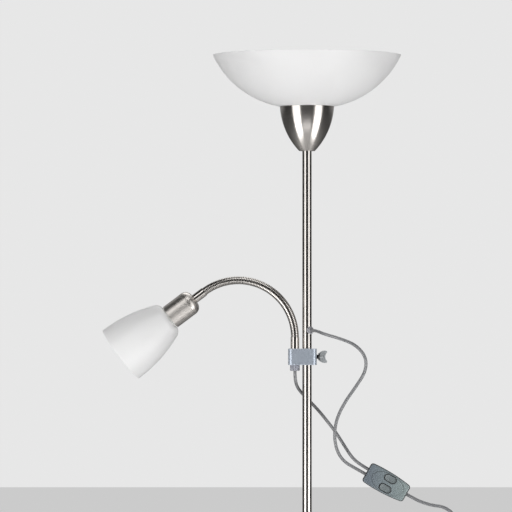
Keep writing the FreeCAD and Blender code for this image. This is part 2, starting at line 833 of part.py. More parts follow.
# ---- Reading head -----------------------------------------------------------------------
def reading_head():
    """Cup, holder, tulip shade and bulb, drawn about Z and turned onto the gooseneck's end."""
    cup_foot = ferrule_length
    cup_end = cup_foot + reading_cup_length
    cup = Outline(stud_radius + screwed_gap, cup_foot)
    cup.line(reading_cup_radius - reading_cup_round, cup_foot)
    cup.arc(
        (
            reading_cup_radius - 0.29 * reading_cup_round,
            cup_foot + 0.29 * reading_cup_round,
        ),
        (reading_cup_radius, cup_foot + reading_cup_round),
    )
    cup.line(reading_cup_radius, cup_end)
    nut_foot = cup_foot + reading_cup_wall
    holder_foot = nut_foot + reading_nut_height
    base_top = holder_foot + reading_holder_base
    holder_top = holder_foot + reading_holder_length
    inner = reading_thread_radius - reading_holder_wall
    holder = (
        Outline(stud_radius + screwed_gap, holder_foot)
        .line(reading_thread_radius, holder_foot)
        .line(reading_thread_radius, holder_top)
        .line(inner, holder_top)
        .line(inner, base_top)
        .line(stud_radius + screwed_gap, base_top)
        .turned()
    )
    nut = hexagon(
        reading_nut_across, stud_radius + screwed_gap, nut_foot, nut_foot + reading_nut_height
    )
    shade_foot = cup_end + shade_gap
    shoulder = shade_foot + shade_shoulder_length
    mouth = shade_foot + shade_length
    shade = Outline(shade_hole_radius, shade_foot)
    shade.line(shade_flat_radius, shade_foot)
    shade.arc(
        (
            0.42 * shade_flat_radius + 0.58 * shade_shoulder_radius,
            shade_foot + 0.3 * shade_shoulder_length,
        ),
        (shade_shoulder_radius, shoulder),
    )
    shade.arc(
        (shade_middle_radius, shade_foot + 0.5 * shade_length), (shade_mouth_radius, mouth)
    )
    ring_foot = shade_foot + shade_wall
    ring = tube(
        reading_ring_radius,
        reading_thread_radius + screwed_gap,
        ring_foot,
        ring_foot + reading_ring_height,
    )
    seat = tube(
        reading_cup_radius - reading_cup_wall - running_gap,
        reading_thread_radius - 0.5 * reading_holder_wall,
        shade_foot - shade_seat_height,
        shade_foot,
    )
    cap_foot = base_top + contact_tip_rise
    globe_foot = cap_foot + small_cap_height
    drawn = {
        "reading_cup": [cup.turned_sheet(reading_cup_wall)],
        "reading_nut": [nut],
        "reading_holder": [holder.fuse(seat).removeSplitter()],
        "reading_contacts": contacts(base_top, cap_foot, inner, small_cap_radius),
        "reading_shade": [shade.turned_sheet(shade_wall)],
        "reading_ring": [ring],
        "reading_bulb_cap": [screw_cap(small_cap_radius, small_cap_height, cap_foot)],
        "reading_bulb_globe": [
            bulb_globe(
                0.95 * small_cap_radius,
                holder_top - globe_foot,
                small_globe_radius,
                small_globe_height,
                globe_foot,
            )
        ],
    }
    place = neck_place(neck_sweep)
    return {name: moved(shapes, place) for name, shapes in drawn.items()}


# ---- Double switch ----------------------------------------------------------------------
# Drawn with X along the switch towards the outgoing lead, Y across it and Z out of its face.
def switch_plate(inset, low, high):
    """Slab of the switch's plan, which narrows towards the outgoing lead, with round corners."""
    half = switch_length / 2 - inset
    wide = switch_width_in / 2 - inset
    middle = switch_width_middle / 2 - inset
    narrow = switch_width_out / 2 - inset
    outline = [
        Part.LineSegment(Vector(-half, -wide, low), Vector(-half, wide, low)).toShape(),
        Part.Arc(
            Vector(-half, wide, low), Vector(0, middle, low), Vector(half, narrow, low)
        ).toShape(),
        Part.LineSegment(Vector(half, narrow, low), Vector(half, -narrow, low)).toShape(),
        Part.Arc(
            Vector(half, -narrow, low), Vector(0, -middle, low), Vector(-half, -wide, low)
        ).toShape(),
    ]
    slab = Part.Face(Part.Wire(outline)).extrude(Vector(0, 0, high - low))
    corners = [e for e in slab.Edges if e.BoundBox.ZLength > high - low - 0.01]
    return slab.makeFillet(switch_corner - inset, corners)


def rocker_places():
    """Middles of the two rockers in the switch's plan."""
    return [Vector(rocker_offset, side * rocker_spacing / 2, 0) for side in (-1, 1)]


def stadium(length, width, low, high):
    """Slab with two straight sides and two half-round ends."""
    straight = length - width
    middle = Part.makeBox(straight, width, high - low, Vector(-straight / 2, -width / 2, low))
    ends = []
    for side in (-1, 1):
        end = rod(width / 2, low, high)
        end.translate(Vector(side * straight / 2, 0, 0))
        ends.append(end)
    return middle.fuse(ends).removeSplitter()


def across(radius, near, far, height):
    """Cylinder along the Y axis at a height."""
    return Part.makeCylinder(radius, far - near, Vector(0, near, height), Vector(0, 1, 0))


def port_rods(radius, near, far):
    """Cylinders along X at the two incoming ports and the outgoing one."""
    rods = []
    for y, sign in ((-port_spacing / 2, -1), (port_spacing / 2, -1), (0, 1)):
        reach = Part.makeCylinder(radius, far - near, Vector(near, y, 0), Vector(1, 0, 0))
        if sign < 0:
            reach.rotate(Vector(0, y, 0), UP, 180)
        rods.append(reach)
    return rods


def switch_screw_places():
    """Screws that hold the two halves together, clear of the rockers and the ports."""
    end = switch_length / 2
    return [Vector(case_screw_from_in - end, 0, 0), Vector(end - case_screw_from_out, 0, 0)]


def switch():
    """Two shells, two rockers with pivots, contacts, terminals, screws and cord clamps."""
    top = switch_height / 2
    floor = switch_wall - top
    half_in = switch_length / 2 - switch_wall
    lower = switch_plate(0, -top, 0)
    rim = [e for e in lower.Edges if e.BoundBox.ZMax < -top + 0.01]
    lower = lower.makeFillet(switch_edge_radius, rim)
    lower = lower.cut(switch_plate(switch_wall, floor, 1))
    upper = switch_plate(0, 0, top)
    rim = [e for e in upper.Edges if e.BoundBox.ZMin > top - 0.01]
    upper = upper.makeFillet(switch_edge_radius, rim)
    oval = Part.Ellipse(ORIGIN, switch_oval_length / 2, switch_oval_width / 2).toShape()
    oval = Part.Face(Part.Wire(oval)).extrude(Vector(0, 0, switch_oval_rise + 1))
    oval.translate(Vector(rocker_offset, 0, top - 1))
    upper = upper.fuse(oval).removeSplitter()
    upper = upper.cut(switch_plate(switch_wall, -1, top - switch_wall))
    pivot = top - pivot_depth
    rocker_top = top + rocker_rise
    lug_near = rocker_width / 2 + rocker_gap
    lug_far = lug_near + lug_thickness
    rockers = []
    lugs = []
    for middle in rocker_places():
        window = stadium(
            rocker_length + 2 * rocker_gap, rocker_width + 2 * rocker_gap, -1, top + 2
        )
        window.translate(middle)
        upper = upper.cut(window)
        for side in (-1, 1):
            lug = Part.makeBox(
                2 * lug_drop, lug_thickness, top - switch_wall / 2 - pivot + lug_drop,
                Vector(-lug_drop, -lug_thickness / 2, pivot - lug_drop),
            )
            lug.translate(middle + Vector(0, side * (lug_near + lug_far) / 2, 0))
            lugs.append(lug)
        rocker = stadium(rocker_length, rocker_width, pivot - rocker_skirt, rocker_top)
        face = Part.makeCylinder(
            rocker_face_radius,
            rocker_width + 2,
            Vector(0, -rocker_width / 2 - 1, rocker_top + rocker_face_radius - rocker_face_depth),
            Vector(0, 1, 0),
        )
        rocker = rocker.cut(face)
        pivots = across(pivot_radius, -lug_near - pivot_length, lug_near + pivot_length, pivot)
        nose = rod(rocker_nose_radius, rocker_nose_foot, pivot)
        rocker = rocker.fuse([pivots, nose]).removeSplitter()
        rocker.rotate(Vector(0, 0, pivot), Vector(0, 1, 0), rocker_tilt)
        rocker.translate(middle)
        rockers.append(rocker)
    upper = upper.fuse(lugs).removeSplitter()
    for middle in rocker_places():
        bearing = across(pivot_radius + running_gap, -lug_far, lug_far, pivot)
        bearing.translate(middle)
        upper = upper.cut(bearing)
    for hole in port_rods(cord_radius + cord_hole_gap, half_in - 1, switch_length):
        lower = lower.cut(hole)
        upper = upper.cut(hole)

    grip_foot = half_in - cord_grip
    clamps = []
    for y, side in ((-port_spacing / 2, -1), (port_spacing / 2, -1), (0, 1)):
        near = grip_foot if side > 0 else -half_in
        wide = port_spacing - saddle_gap
        high = -floor - cord_radius - saddle_play
        clamps.append(Part.makeBox(cord_grip, wide, high, Vector(near, y - wide / 2, floor)))
    post_top = top - switch_wall
    seat = case_post_floor - post_top
    bore = case_screw_radius + screwed_gap
    screws = []
    for place in switch_screw_places():
        screw = rod(case_screw_radius, seat, -seat - screwed_gap)
        screw = screw.fuse(rod(case_screw_head_radius, case_screw_head_sink - top, seat))
        post = rod(case_post_radius, floor - case_post_root, 0).cut(rod(bore, -top - 1, 1))
        recess = rod(case_screw_head_radius + screwed_gap, -top - 1, seat)
        cap = rod(case_post_radius, 0, post_top + case_post_root).cut(rod(bore, -1, -seat))
        for solid in (screw, post, recess, cap):
            solid.translate(place)
        lower = lower.fuse(post).removeSplitter().cut(recess)
        upper = upper.fuse(cap).removeSplitter()
        screws.append(screw)
    springs = []
    terminals = []
    spring_foot = floor + terminal_height
    spring_top = spring_foot + contact_thickness
    for middle in rocker_places():
        for side in (-1, 1):
            block = Part.makeBox(
                terminal_length, terminal_width, terminal_height,
                Vector(-terminal_length / 2, -terminal_width / 2, floor),
            )
            hole_height = floor + terminal_height / 2
            block = block.cut(
                across(terminal_hole_radius, -terminal_width, terminal_width, hole_height)
            )
            block.translate(middle + Vector(side * terminal_reach, 0, 0))
            terminals.append(block)
        spring = Part.makeBox(
            spring_length, contact_width, contact_thickness,
            Vector(spring_place - spring_length / 2, -contact_width / 2, spring_foot),
        )
        tip = rod(spring_tip_radius, spring_top, spring_top + spring_tip_height)
        tip.translate(Vector(spring_tip_place, 0, 0))
        spring = spring.fuse(tip).removeSplitter()
        spring.translate(middle)
        springs.append(spring)
    drawn = {
        "switch_bottom": [lower],
        "switch_top": [upper],
        "switch_rocker_a": [rockers[0]],
        "switch_rocker_b": [rockers[1]],
        "switch_contacts": springs,
        "switch_terminals": terminals,
        "switch_screws": screws,
        "switch_cord_clamps": clamps,
    }
    return {name: moved(shapes, switch_plan) for name, shapes in drawn.items()}


# ---- Cords ------------------------------------------------------------------------------
# The visible leads follow points chosen by hand, and the put-away length lies in a coil.
UPLIGHT_ROUTE = [
    (5.66, -5.66, 1332.0),
    (14.0, -14.0, 1332.0),
    (29.0, -27.0, 1325.5),
    (56.0, -37.0, 1318.0),
    (82.0, -41.0, 1307.5),
    (99.5, -40.0, 1287.0),
    (99.0, -35.0, 1263.0),
    (84.0, -30.0, 1239.0),
    (64.0, -25.5, 1211.0),
    (50.0, -22.0, 1183.0),
    (45.5, -19.5, 1155.0),
    (50.0, -16.5, 1128.0),
    (62.0, -12.0, 1109.5),
    (83.0, -8.0, 1097.3),
]

READING_UPPER_ROUTE = [
    (-20.6, 0.0, 1269.0),
    (-20.6, 0.0, 1251.0),
    (-17.3, 8.8, 1236.0),
    (-7.0, 16.6, 1223.0),
    (5.0, 18.0, 1211.0),
]

READING_LOWER_ROUTE = [
    (5.0, 18.0, 1211.0),
    (17.0, 19.4, 1199.0),
    (33.0, 13.5, 1179.5),
    (50.0, 5.0, 1157.5),
    (64.0, -2.0, 1135.0),
    (77.0, -6.0, 1115.0),
    (92.0, -8.0, 1103.0),
]

MAINS_ROUTE = [
    (177.0, -8.0, 1049.0),
    (192.0, -9.0, 1041.3),
    (212.0, -10.0, 1035.2),
    (232.0, -12.0, 1033.0),
    (250.0, -14.0, 1020.0),
    (257.0, -16.0, 992.0),
    (259.2, -18.0, 938.0),
    (261.0, -20.5, 868.0),
    (261.6, -23.0, 796.0),
    (261.0, -25.5, 724.0),
    (259.4, -28.0, 652.0),
    (256.8, -30.5, 580.0),
    (253.3, -33.0, 508.0),
    (249.0, -35.5, 436.0),
    (244.0, -38.0, 364.0),
    (238.6, -40.5, 292.0),
    (233.4, -43.0, 220.0),
    (229.3, -45.0, 150.0),
    (227.0, -46.5, 96.0),
    (226.0, -44.5, 55.0),
    (226.0, -34.0, 22.0),
    (226.0, -11.0, 2.7),
]


def switch_port(across_offset, direction, depth):
    """Point on a port's axis, a depth inside the switch's end wall."""
    reach = direction * (switch_length / 2 - depth)
    return switch_plan.multVec(Vector(reach, across_offset, 0))


def leads():
    """Visible leads as round tubes, from where they leave the lamp to the switch and coil."""
    low_port = switch_port(-port_spacing / 2, -1, cord_grip)
    high_port = switch_port(port_spacing / 2, -1, cord_grip)
    out_port = switch_port(0, 1, cord_grip)
    coil_start = coil_point(0) - Vector(0, cord_diameter, 0)
    return {
        "cord_uplight": [cord("cord_uplight", UPLIGHT_ROUTE + [tuple(low_port)])],
        "cord_reading_upper": [cord("cord_reading_upper", READING_UPPER_ROUTE)],
        "cord_reading_lower": [
            cord("cord_reading_lower", READING_LOWER_ROUTE + [tuple(high_port)])
        ],
        "cord_mains": [cord("cord_mains", [tuple(out_port)] + MAINS_ROUTE + [tuple(coil_start)])],
    }


def coil_point(turns):
    """Point on the coil's middle line: in along the floor, up, and out again on top."""
    middle = coil_turns / 2
    inward = middle - abs(turns - middle)
    radius = coil_outer_radius - coil_pitch * inward
    climb = min(max((turns - coil_layer_turns) / coil_climb_turns, 0), 1)
    height = cord_radius + coil_pitch * (1 - math.cos(math.pi * climb)) / 2
    angle = 2 * math.pi * turns
    return coil_centre + Vector(radius * math.cos(angle), radius * math.sin(angle), height)


def coil_way(turns):
    """Direction of the coil's middle line."""
    step = 0.001
    return (coil_point(turns + step) - coil_point(turns - step)).normalize()


def coil():
    """Put-away length of the mains lead, wound in two layers, with its straight tail."""
    quarters = round(4 * coil_turns)
    foot = coil_point(0) - Vector(0, cord_diameter, 0)
    here = coil_point(0)
    way = Vector(0, 1, 0)
    edges = [Part.LineSegment(foot, here).toShape()]
    for k in range(1, quarters + 1):
        target = coil_point(coil_turns * k / quarters)
        target_way = coil_way(coil_turns * k / quarters)
        edges += biarc(here, way, target, target_way)
        here = target
        way = target_way
    entry = plug_entry()
    ahead = Vector(0, -1, 0)
    edges += biarc(here, way, entry, ahead)
    edges.append(Part.LineSegment(entry, entry + ahead * plug_grip).toShape())
    path = Part.Wire(edges)
    solid = swept(path, foot, Vector(0, 1, 0))
    print(f"cord_coil: {path.Length:.0f} mm long, least gap to itself {coil_gap():.2f} mm")
    return {"cord_coil": [solid]}


def coil_gap():
    """Least gap between turns, on points a fiftieth of a turn apart."""
    steps = round(50 * coil_turns)
    line = [coil_point(coil_turns * k / steps) for k in range(steps + 1)]
    least = min(
        here.distanceToPoint(there) for k, here in enumerate(line) for there in line[k + 25 :]
    )
    return least - cord_diameter


# ---- Plug -------------------------------------------------------------------------------
def plug_entry():
    """Where the lead's tail runs into the plug, which lies flat on the floor."""
    end = coil_point(coil_turns)
    return Vector(end.x, end.y - coil_tail_length, plug_thickness / 2)


def plug():
    """Flat moulded two-pin plug with its tapered relief, and its pins."""
    half = plug_width / 2
    neck = plug_neck_width / 2
    shoulder = plug_relief_length + plug_shoulder_length
    face = plug_relief_length + plug_length
    outline = Outline(plug_relief_length, -neck)
    outline.line(shoulder, -half).line(face, -half).line(face, half)
    outline.line(shoulder, half).line(plug_relief_length, neck).line(plug_relief_length, -neck)
    body = Part.Face(Part.Wire(outline.edges)).extrude(Vector(0, plug_thickness, 0))
    body.translate(Vector(0, -plug_thickness / 2, 0))
    uprights = [e for e in body.Edges if e.BoundBox.YLength > plug_thickness - 0.01]
    shoulders = [e for e in uprights if abs(e.BoundBox.Center.x - shoulder) < 0.01]
    body = body.makeFillet(plug_shoulder_radius, shoulders)
    corners = [e for e in body.Edges if e.BoundBox.XMin > face - 0.01]
    corners = [e for e in corners if e.BoundBox.YLength > plug_thickness - 0.01]
    body = body.makeFillet(plug_corner_radius, corners)
    brims = [e for e in body.Edges if e.BoundBox.YLength < 0.01]
    body = body.makeFillet(plug_edge_radius, brims)
    relief = Part.makeCone(
        plug_relief_tip, plug_relief_radius, plug_relief_length + 1, ORIGIN, Vector(1, 0, 0)
    )
    body = body.fuse(relief).removeSplitter()
    body = body.cut(flat_rod(cord_radius + cord_hole_gap, -1, plug_grip + 0.5))
    body.rotate(ORIGIN, Vector(1, 0, 0), 90)
    neck_end = face + pin_neck_length
    pins = []
    for side in (-1, 1):
        neck = flat_rod(pin_neck_radius, face - pin_seat, neck_end)
        tip = flat_rod(pin_radius, neck_end, face + pin_length)
        rim = [e for e in tip.Edges if e.BoundBox.XMin > face + pin_length - 0.1]
        pin = tip.makeFillet(pin_tip_round, rim).fuse(neck).removeSplitter()
        hole = flat_rod(pin_neck_radius + screwed_gap, face - pin_seat, neck_end)
        for solid in (pin, hole):
            solid.translate(Vector(0, side * pin_spacing / 2, 0))
        pins.append(pin)
        body = body.cut(hole)
    place = FreeCAD.Placement(plug_entry(), FreeCAD.Rotation(UP, -90))
    return {"plug_body": moved([body], place), "plug_pins": moved(pins, place)}


# ---- The lamp ---------------------------------------------------------------------------
def write(parts):
    """One STEP file for each sub-part."""
    os.makedirs("parts", exist_ok=True)
    for name, shapes in parts.items():
        shape = shapes[0] if len(shapes) == 1 else Part.makeCompound(shapes)
        shape.exportStep(f"parts/{name}.step")


def main():
    parts = {}
    for family in (
        base, pole, uplight, clamp, neck, reading_head, switch, leads, coil, plug,
    ):
        parts.update(family())
    for name, shapes in parts.items():
        for shape in shapes:
            if not shape.isValid() or len(shape.Solids) != 1 or shape.Volume <= 0:
                print(f"{name}: {len(shape.Solids)} solids, valid {shape.isValid()}")
    write(parts)
    print(f"{len(parts)} sub-parts, rim {rim_height:.0f} mm above the floor")


main()
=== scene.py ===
# %% [markdown]
# # A torchiere floor lamp with a gooseneck reading light
#
# The lamp is an assembly of spun and drawn brushed nickel, satin opal glass, grey moulded
# plastic and soft grey cord. Its solid parts arrive finished from the workshop drawing, at their
# real size. This lesson gives them their finishes, and makes the pieces that a drawing holds
# only roughly: the cords, the ribbed hose and the threads.

# %% Load the lamp's solid parts
import math

import bpy
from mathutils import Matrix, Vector


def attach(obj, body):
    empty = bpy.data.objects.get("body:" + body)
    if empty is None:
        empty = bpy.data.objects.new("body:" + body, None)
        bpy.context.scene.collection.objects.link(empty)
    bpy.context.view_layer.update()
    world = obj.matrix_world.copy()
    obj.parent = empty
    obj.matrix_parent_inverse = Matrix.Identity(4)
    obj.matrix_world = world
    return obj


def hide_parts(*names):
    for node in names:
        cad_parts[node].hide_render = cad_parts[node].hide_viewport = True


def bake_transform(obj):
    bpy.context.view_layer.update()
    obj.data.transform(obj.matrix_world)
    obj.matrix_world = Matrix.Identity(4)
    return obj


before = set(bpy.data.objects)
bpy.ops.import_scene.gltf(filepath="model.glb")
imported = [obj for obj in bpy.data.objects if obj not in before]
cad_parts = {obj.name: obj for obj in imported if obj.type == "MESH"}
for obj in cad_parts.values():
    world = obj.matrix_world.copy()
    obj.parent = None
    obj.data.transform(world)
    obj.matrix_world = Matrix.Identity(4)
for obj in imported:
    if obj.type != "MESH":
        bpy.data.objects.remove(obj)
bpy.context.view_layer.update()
MM = 0.001

# %% [markdown]
# ## The camera
#
# A product photographer stands well back with a long lens, so that a tall lamp keeps its true
# proportions. Here the camera is seven and a half metres away, at the height of the clamp, and
# tips up by about a degree. We could also shift the lens, but a small tip is what a tripod does.
# Sizes are written in millimetres, as on the drawing, and turned into metres by MM.

# %% Place the camera
VIEW_CENTRE = Vector((-86.7, 0, 1458.3)) * MM
CAMERA_PLACE = Vector((-86.7, -7500, 1332)) * MM
VIEW_WIDTH = 870.4 * MM
SENSOR_WIDTH = 36
camera_data = bpy.data.cameras.new("camera")
camera = bpy.data.objects.new("camera", camera_data)
bpy.context.scene.collection.objects.link(camera)
sight = VIEW_CENTRE - CAMERA_PLACE
camera.location = CAMERA_PLACE
camera.rotation_euler = sight.to_track_quat("-Z", "Y").to_euler()
camera_data.sensor_width = SENSOR_WIDTH
camera_data.lens = SENSOR_WIDTH * sight.length / VIEW_WIDTH
bpy.context.scene.camera = camera
bpy.context.scene.view_settings.view_transform = "Standard"
tip = math.degrees(math.asin(sight.z / sight.length))
print(f"lens of {camera_data.lens:.0f} mm, tipped up {tip:.1f} degrees")

# %% [markdown]
# ## A small kit for shader nodes
#
# Every finish below is a Principled shader with a few procedural nodes. One helper adds a node,
# sets its values and links any socket that it is given. Another starts a finish. We could build
# each tree by hand, but the recipes would be long and would hide what matters in them.

# %% Helpers to add a node and start a finish
def add_node(tree, kind, inputs=None, **settings):
    """New node, with its settings and inputs. A socket among the inputs is linked."""
    made = tree.nodes.new(kind)
    for name, value in settings.items():
        setattr(made, name, value)
    for name, value in (inputs or {}).items():
        if isinstance(value, bpy.types.NodeSocket):
            tree.links.new(value, made.inputs[name])
        else:
            made.inputs[name].default_value = value
    return made


def new_finish(name, colour, roughness, metallic=0.0, **sockets):
    """Material with a Principled shader. Returns the material, its tree and the shader."""
    finish = bpy.data.materials.new(name)
    finish.use_nodes = True
    tree = finish.node_tree
    shader = tree.nodes["Principled BSDF"]
    shader.inputs["Base Color"].default_value = (*colour, 1)
    shader.inputs["Roughness"].default_value = roughness
    shader.inputs["Metallic"].default_value = metallic
    for socket, value in sockets.items():
        shader.inputs[socket.replace("_", " ")].default_value = value
    return finish, tree, shader


print("helpers ready to add nodes and start finishes")

# %% [markdown]
# These helpers wrap the nodes that the finishes use most, so that each recipe stays as short as
# a line of arithmetic: sums on numbers and vectors, ranges, tones, noise and relief. Patterns are
# measured in millimetres on the object itself, so they turn and travel with it.

# %% Helpers for sums, tones, noise and relief
def number_math(tree, operation, *values):
    """Result of one operation on numbers."""
    return add_node(
        tree, "ShaderNodeMath", dict(enumerate(values)), operation=operation
    ).outputs["Value"]


def vector_math(tree, operation, *values, scale=None, result="Vector"):
    """Result of one operation on vectors."""
    inputs = dict(enumerate(values))
    if scale is not None:
        inputs["Scale"] = scale
    return add_node(tree, "ShaderNodeVectorMath", inputs, operation=operation).outputs[result]


def part_of(tree, vector, letter):
    """One coordinate of a vector."""
    return add_node(tree, "ShaderNodeSeparateXYZ", {"Vector": vector}).outputs[letter]


def between(tree, factor, low, high):
    """Map a factor from 0 to 1 onto a range."""
    return add_node(
        tree, "ShaderNodeMapRange", {"Value": factor, "To Min": low, "To Max": high}
    ).outputs["Result"]


def tint(tree, factor, dark, light):
    """Colour between two tones."""
    mix = add_node(tree, "ShaderNodeMix", data_type="RGBA")
    tree.links.new(factor, mix.inputs["Factor"])
    mix.inputs["A"].default_value = (*dark, 1)
    mix.inputs["B"].default_value = (*light, 1)
    return mix.outputs["Result"]


def place_in_mm(tree):
    """The point on the object in millimetres."""
    point = add_node(tree, "ShaderNodeTexCoord").outputs["Object"]
    return vector_math(tree, "SCALE", point, scale=1 / MM)


def noise(tree, place, scale, detail=2.0):
    """Soft random pattern, from 0 to 1."""
    return add_node(
        tree, "ShaderNodeTexNoise", {"Vector": place, "Scale": scale, "Detail": detail}
    ).outputs["Fac"]


def bump(tree, shader, height, distance, strength=1.0):
    """Relief of a given depth in metres."""
    relief = add_node(
        tree, "ShaderNodeBump", {"Height": height, "Distance": distance, "Strength": strength}
    )
    tree.links.new(relief.outputs["Normal"], shader.inputs["Normal"])


print("helpers ready for numbers, vectors, tones, noise and relief")

# %% [markdown]
# ## Brushed nickel
#
# The pole, the bell cups and the base cover are steel, polished with an abrasive belt while they
# turn, then nickel plated. The belt leaves hair-fine rings round the axis. A picture of scratches
# would stretch over the curved cup, so the rings are computed: a noise that changes fast along
# the axis and outwards from it, and hardly at all round it. The rings also stretch each
# reflection along the axis, which the shader's anisotropy does.

# %% Make the brushed nickel
UP = Vector((0, 0, 1))
NICKEL_TONE = (0.62, 0.59, 0.56)
RING_DRIFT = 0.02


def rings_about(tree, origin, axis):
    """Millimetres out from an axis and along it, as a vector for a ringed pattern."""
    arm = vector_math(tree, "SUBTRACT", place_in_mm(tree), tuple(origin / MM))
    along = vector_math(tree, "DOT_PRODUCT", arm, tuple(axis), result="Value")
    step = vector_math(tree, "SCALE", tuple(axis), scale=along)
    across = vector_math(tree, "SUBTRACT", arm, step)
    out = vector_math(tree, "LENGTH", across, result="Value")
    drift = vector_math(tree, "SCALE", across, scale=RING_DRIFT)
    rings = add_node(tree, "ShaderNodeCombineXYZ", {"X": out, "Y": along}).outputs["Vector"]
    return vector_math(tree, "ADD", rings, drift)


def brushed_nickel(name, origin, axis, gloss=(0.17, 0.29), stretch=0.75, cut=0.003 * MM):
    """Nickel with fine rings about an axis, which stretch each reflection along it."""
    finish, tree, shader = new_finish(
        name, NICKEL_TONE, 0.3, metallic=1.0, Anisotropic=stretch
    )
    along = add_node(
        tree, "ShaderNodeVectorTransform", {"Vector": tuple(axis)},
        convert_from="OBJECT", convert_to="WORLD",
    ).outputs["Vector"]
    tree.links.new(along, shader.inputs["Tangent"])
    place = rings_about(tree, origin, axis)
    fine = noise(tree, place, 2.6, 3.0)
    broad = noise(tree, place, 0.35, 1.0)
    tree.links.new(
        tint(tree, broad, (0.55, 0.52, 0.49), (0.66, 0.63, 0.60)), shader.inputs["Base Color"]
    )
    tree.links.new(between(tree, fine, *gloss), shader.inputs["Roughness"])
    bump(tree, shader, fine, cut)
    return finish


nickel = brushed_nickel("brushed_nickel", Vector((0, 0, 0)), UP)
print(f"{nickel.name}: {len(nickel.node_tree.nodes)} nodes")

# %% [markdown]
# ## Satin opal glass
#
# The bowl and the tulip shade are white flashed glass, etched with acid until the gloss is gone.
# Light enters, scatters and comes out again nearby, which softens every shadow on it. Mixing a
# diffuse with a translucent shader would do, but subsurface scattering over some twelve
# millimetres is what the glass really does. The bulbs are clearer: their frost scatters over two
# millimetres only.

# %% Make the glass of the bowl, the shade and the bulbs
OPAL_SPREAD = 12 * MM
OPAL_CLOUD = 0.015
OPAL_WARMTH = 0.003
ETCH_DEPTH = 0.008 * MM
BULB_SPREAD = 2 * MM


def opal_tone(tone):
    """White glass of a given tone, a trace warmer than grey."""
    return tone, tone - OPAL_WARMTH, tone - OPAL_WARMTH


def opal(name, tone):
    """Etched opal glass of a given whiteness."""
    finish, tree, shader = new_finish(
        name, (tone, tone, tone), 0.42, Subsurface_Weight=0.6, Subsurface_Scale=OPAL_SPREAD
    )
    shader.inputs["Subsurface Radius"].default_value = (1.0, 1.0, 1.0)
    place = place_in_mm(tree)
    etch = noise(tree, place, 1.4, 4.0)
    tree.links.new(between(tree, etch, 0.36, 0.48), shader.inputs["Roughness"])
    cloud = noise(tree, place, 0.02, 1.0)
    tree.links.new(
        tint(tree, cloud, opal_tone(tone - OPAL_CLOUD), opal_tone(tone + OPAL_CLOUD)),
        shader.inputs["Base Color"],
    )
    bump(tree, shader, etch, ETCH_DEPTH)
    return finish


def frosted(name, tone):
    """Thin frosted glass of a bulb."""
    finish, tree, shader = new_finish(
        name, tone, 0.3, Subsurface_Weight=0.3, Subsurface_Scale=BULB_SPREAD
    )
    frost = noise(tree, place_in_mm(tree), 2.0, 3.0)
    tree.links.new(between(tree, frost, 0.22, 0.38), shader.inputs["Roughness"])
    return finish


bowl_glass = opal("satin_opal_glass_bowl", 0.81)
shade_glass = opal("satin_opal_glass_shade", 0.87)
bulb_glass = frosted("frosted_bulb_glass", (0.88, 0.88, 0.86))
print("three kinds of glass")

# %% [markdown]
# ## Plastics, rubber and cord
#
# The clamp block is moulded in a silver-grey plastic with a lacquered sheen, the split liner in a
# softer, slightly clear one. Moulds are spark-eroded, so the skin has a fine pebble. The two-core
# cord has a smooth sheath of soft PVC that goes faintly uneven where it was handled. One recipe
# makes them all: a noise for the pebble and a slower one for the tone.

# %% Make the moulded plastics and the cord's sheath
TONE_SPREAD = 0.06


def moulded(name, colour, roughness, pebble=1.2, depth=0.012 * MM, uneven=0.06, **sockets):
    """Moulded plastic with a fine pebble and a slightly uneven tone."""
    finish, tree, shader = new_finish(name, colour, roughness, **sockets)
    place = place_in_mm(tree)
    grain = noise(tree, place, pebble, 3.0)
    cast = noise(tree, place, 0.05, 1.0)
    dark = tuple((1 - TONE_SPREAD) * c for c in colour)
    light = tuple(min(1.0, (1 + TONE_SPREAD) * c) for c in colour)
    tree.links.new(tint(tree, cast, dark, light), shader.inputs["Base Color"])
    tree.links.new(
        between(tree, grain, roughness - uneven, roughness + uneven), shader.inputs["Roughness"]
    )
    bump(tree, shader, grain, depth)
    return finish


clamp_plastic = moulded(
    "silver_grey_plastic", (0.50, 0.555, 0.635), 0.26, depth=0.002 * MM, uneven=0.02,
    metallic=0.45, Coat_Weight=0.4, Coat_Roughness=0.1,
)
clear_plastic = moulded(
    "soft_clear_plastic", (0.30, 0.31, 0.36), 0.25, depth=0.004 * MM, uneven=0.03
)
grommet_rubber = moulded("grommet_rubber", (0.33, 0.33, 0.35), 0.35)
# Near-black colour for the beads in the switch's gaps and holes: painted shade.
painted_gap_shade = moulded("painted_gap_shade", (0.018, 0.02, 0.022), 0.45)
cord_sheath = moulded(
    "cord_sheath", (0.19, 0.192, 0.20), 0.22, pebble=0.4, depth=0.002 * MM, uneven=0.03,
    Coat_Weight=0.5, Coat_Roughness=0.15,
)
plug_rubber = moulded("plug_rubber", (0.22, 0.225, 0.24), 0.45)
rocker_plastic = moulded(
    "rocker_plastic", (0.16, 0.185, 0.19), 0.3, pebble=4, depth=0.001 * MM, uneven=0.02
)
holder_plastic = moulded("holder_plastic", (0.80, 0.80, 0.77), 0.35)
print("eight moulded finishes")

# %% [markdown]
# Three plastics change from place to place. The gland has fine upright ribs: one wave of height
# for each rib, counted by the angle round its axis. The same wave darkens the tone in the troughs
# and lightens it on the crests, which is painted shade and painted highlight. The wing screw's
# head is moulded over a dark collar, so its tone changes at one place along the screw. The
# switch's shell takes a cooler and darker tone at the end where the two leads come in, by a
# smooth ramp along it.

# %% Make the ribbed gland, the wing and the switch's shell
GLAND_AXIS = (-20.6, 0, 0)
GLAND_RIBS = 18
RIB_DEPTH = 0.4 * MM
SKIN_DEPTH = 0.008 * MM
COLLAR_END = 21.8
SHELL_FROM, SHELL_TO = 105.0, 165.0


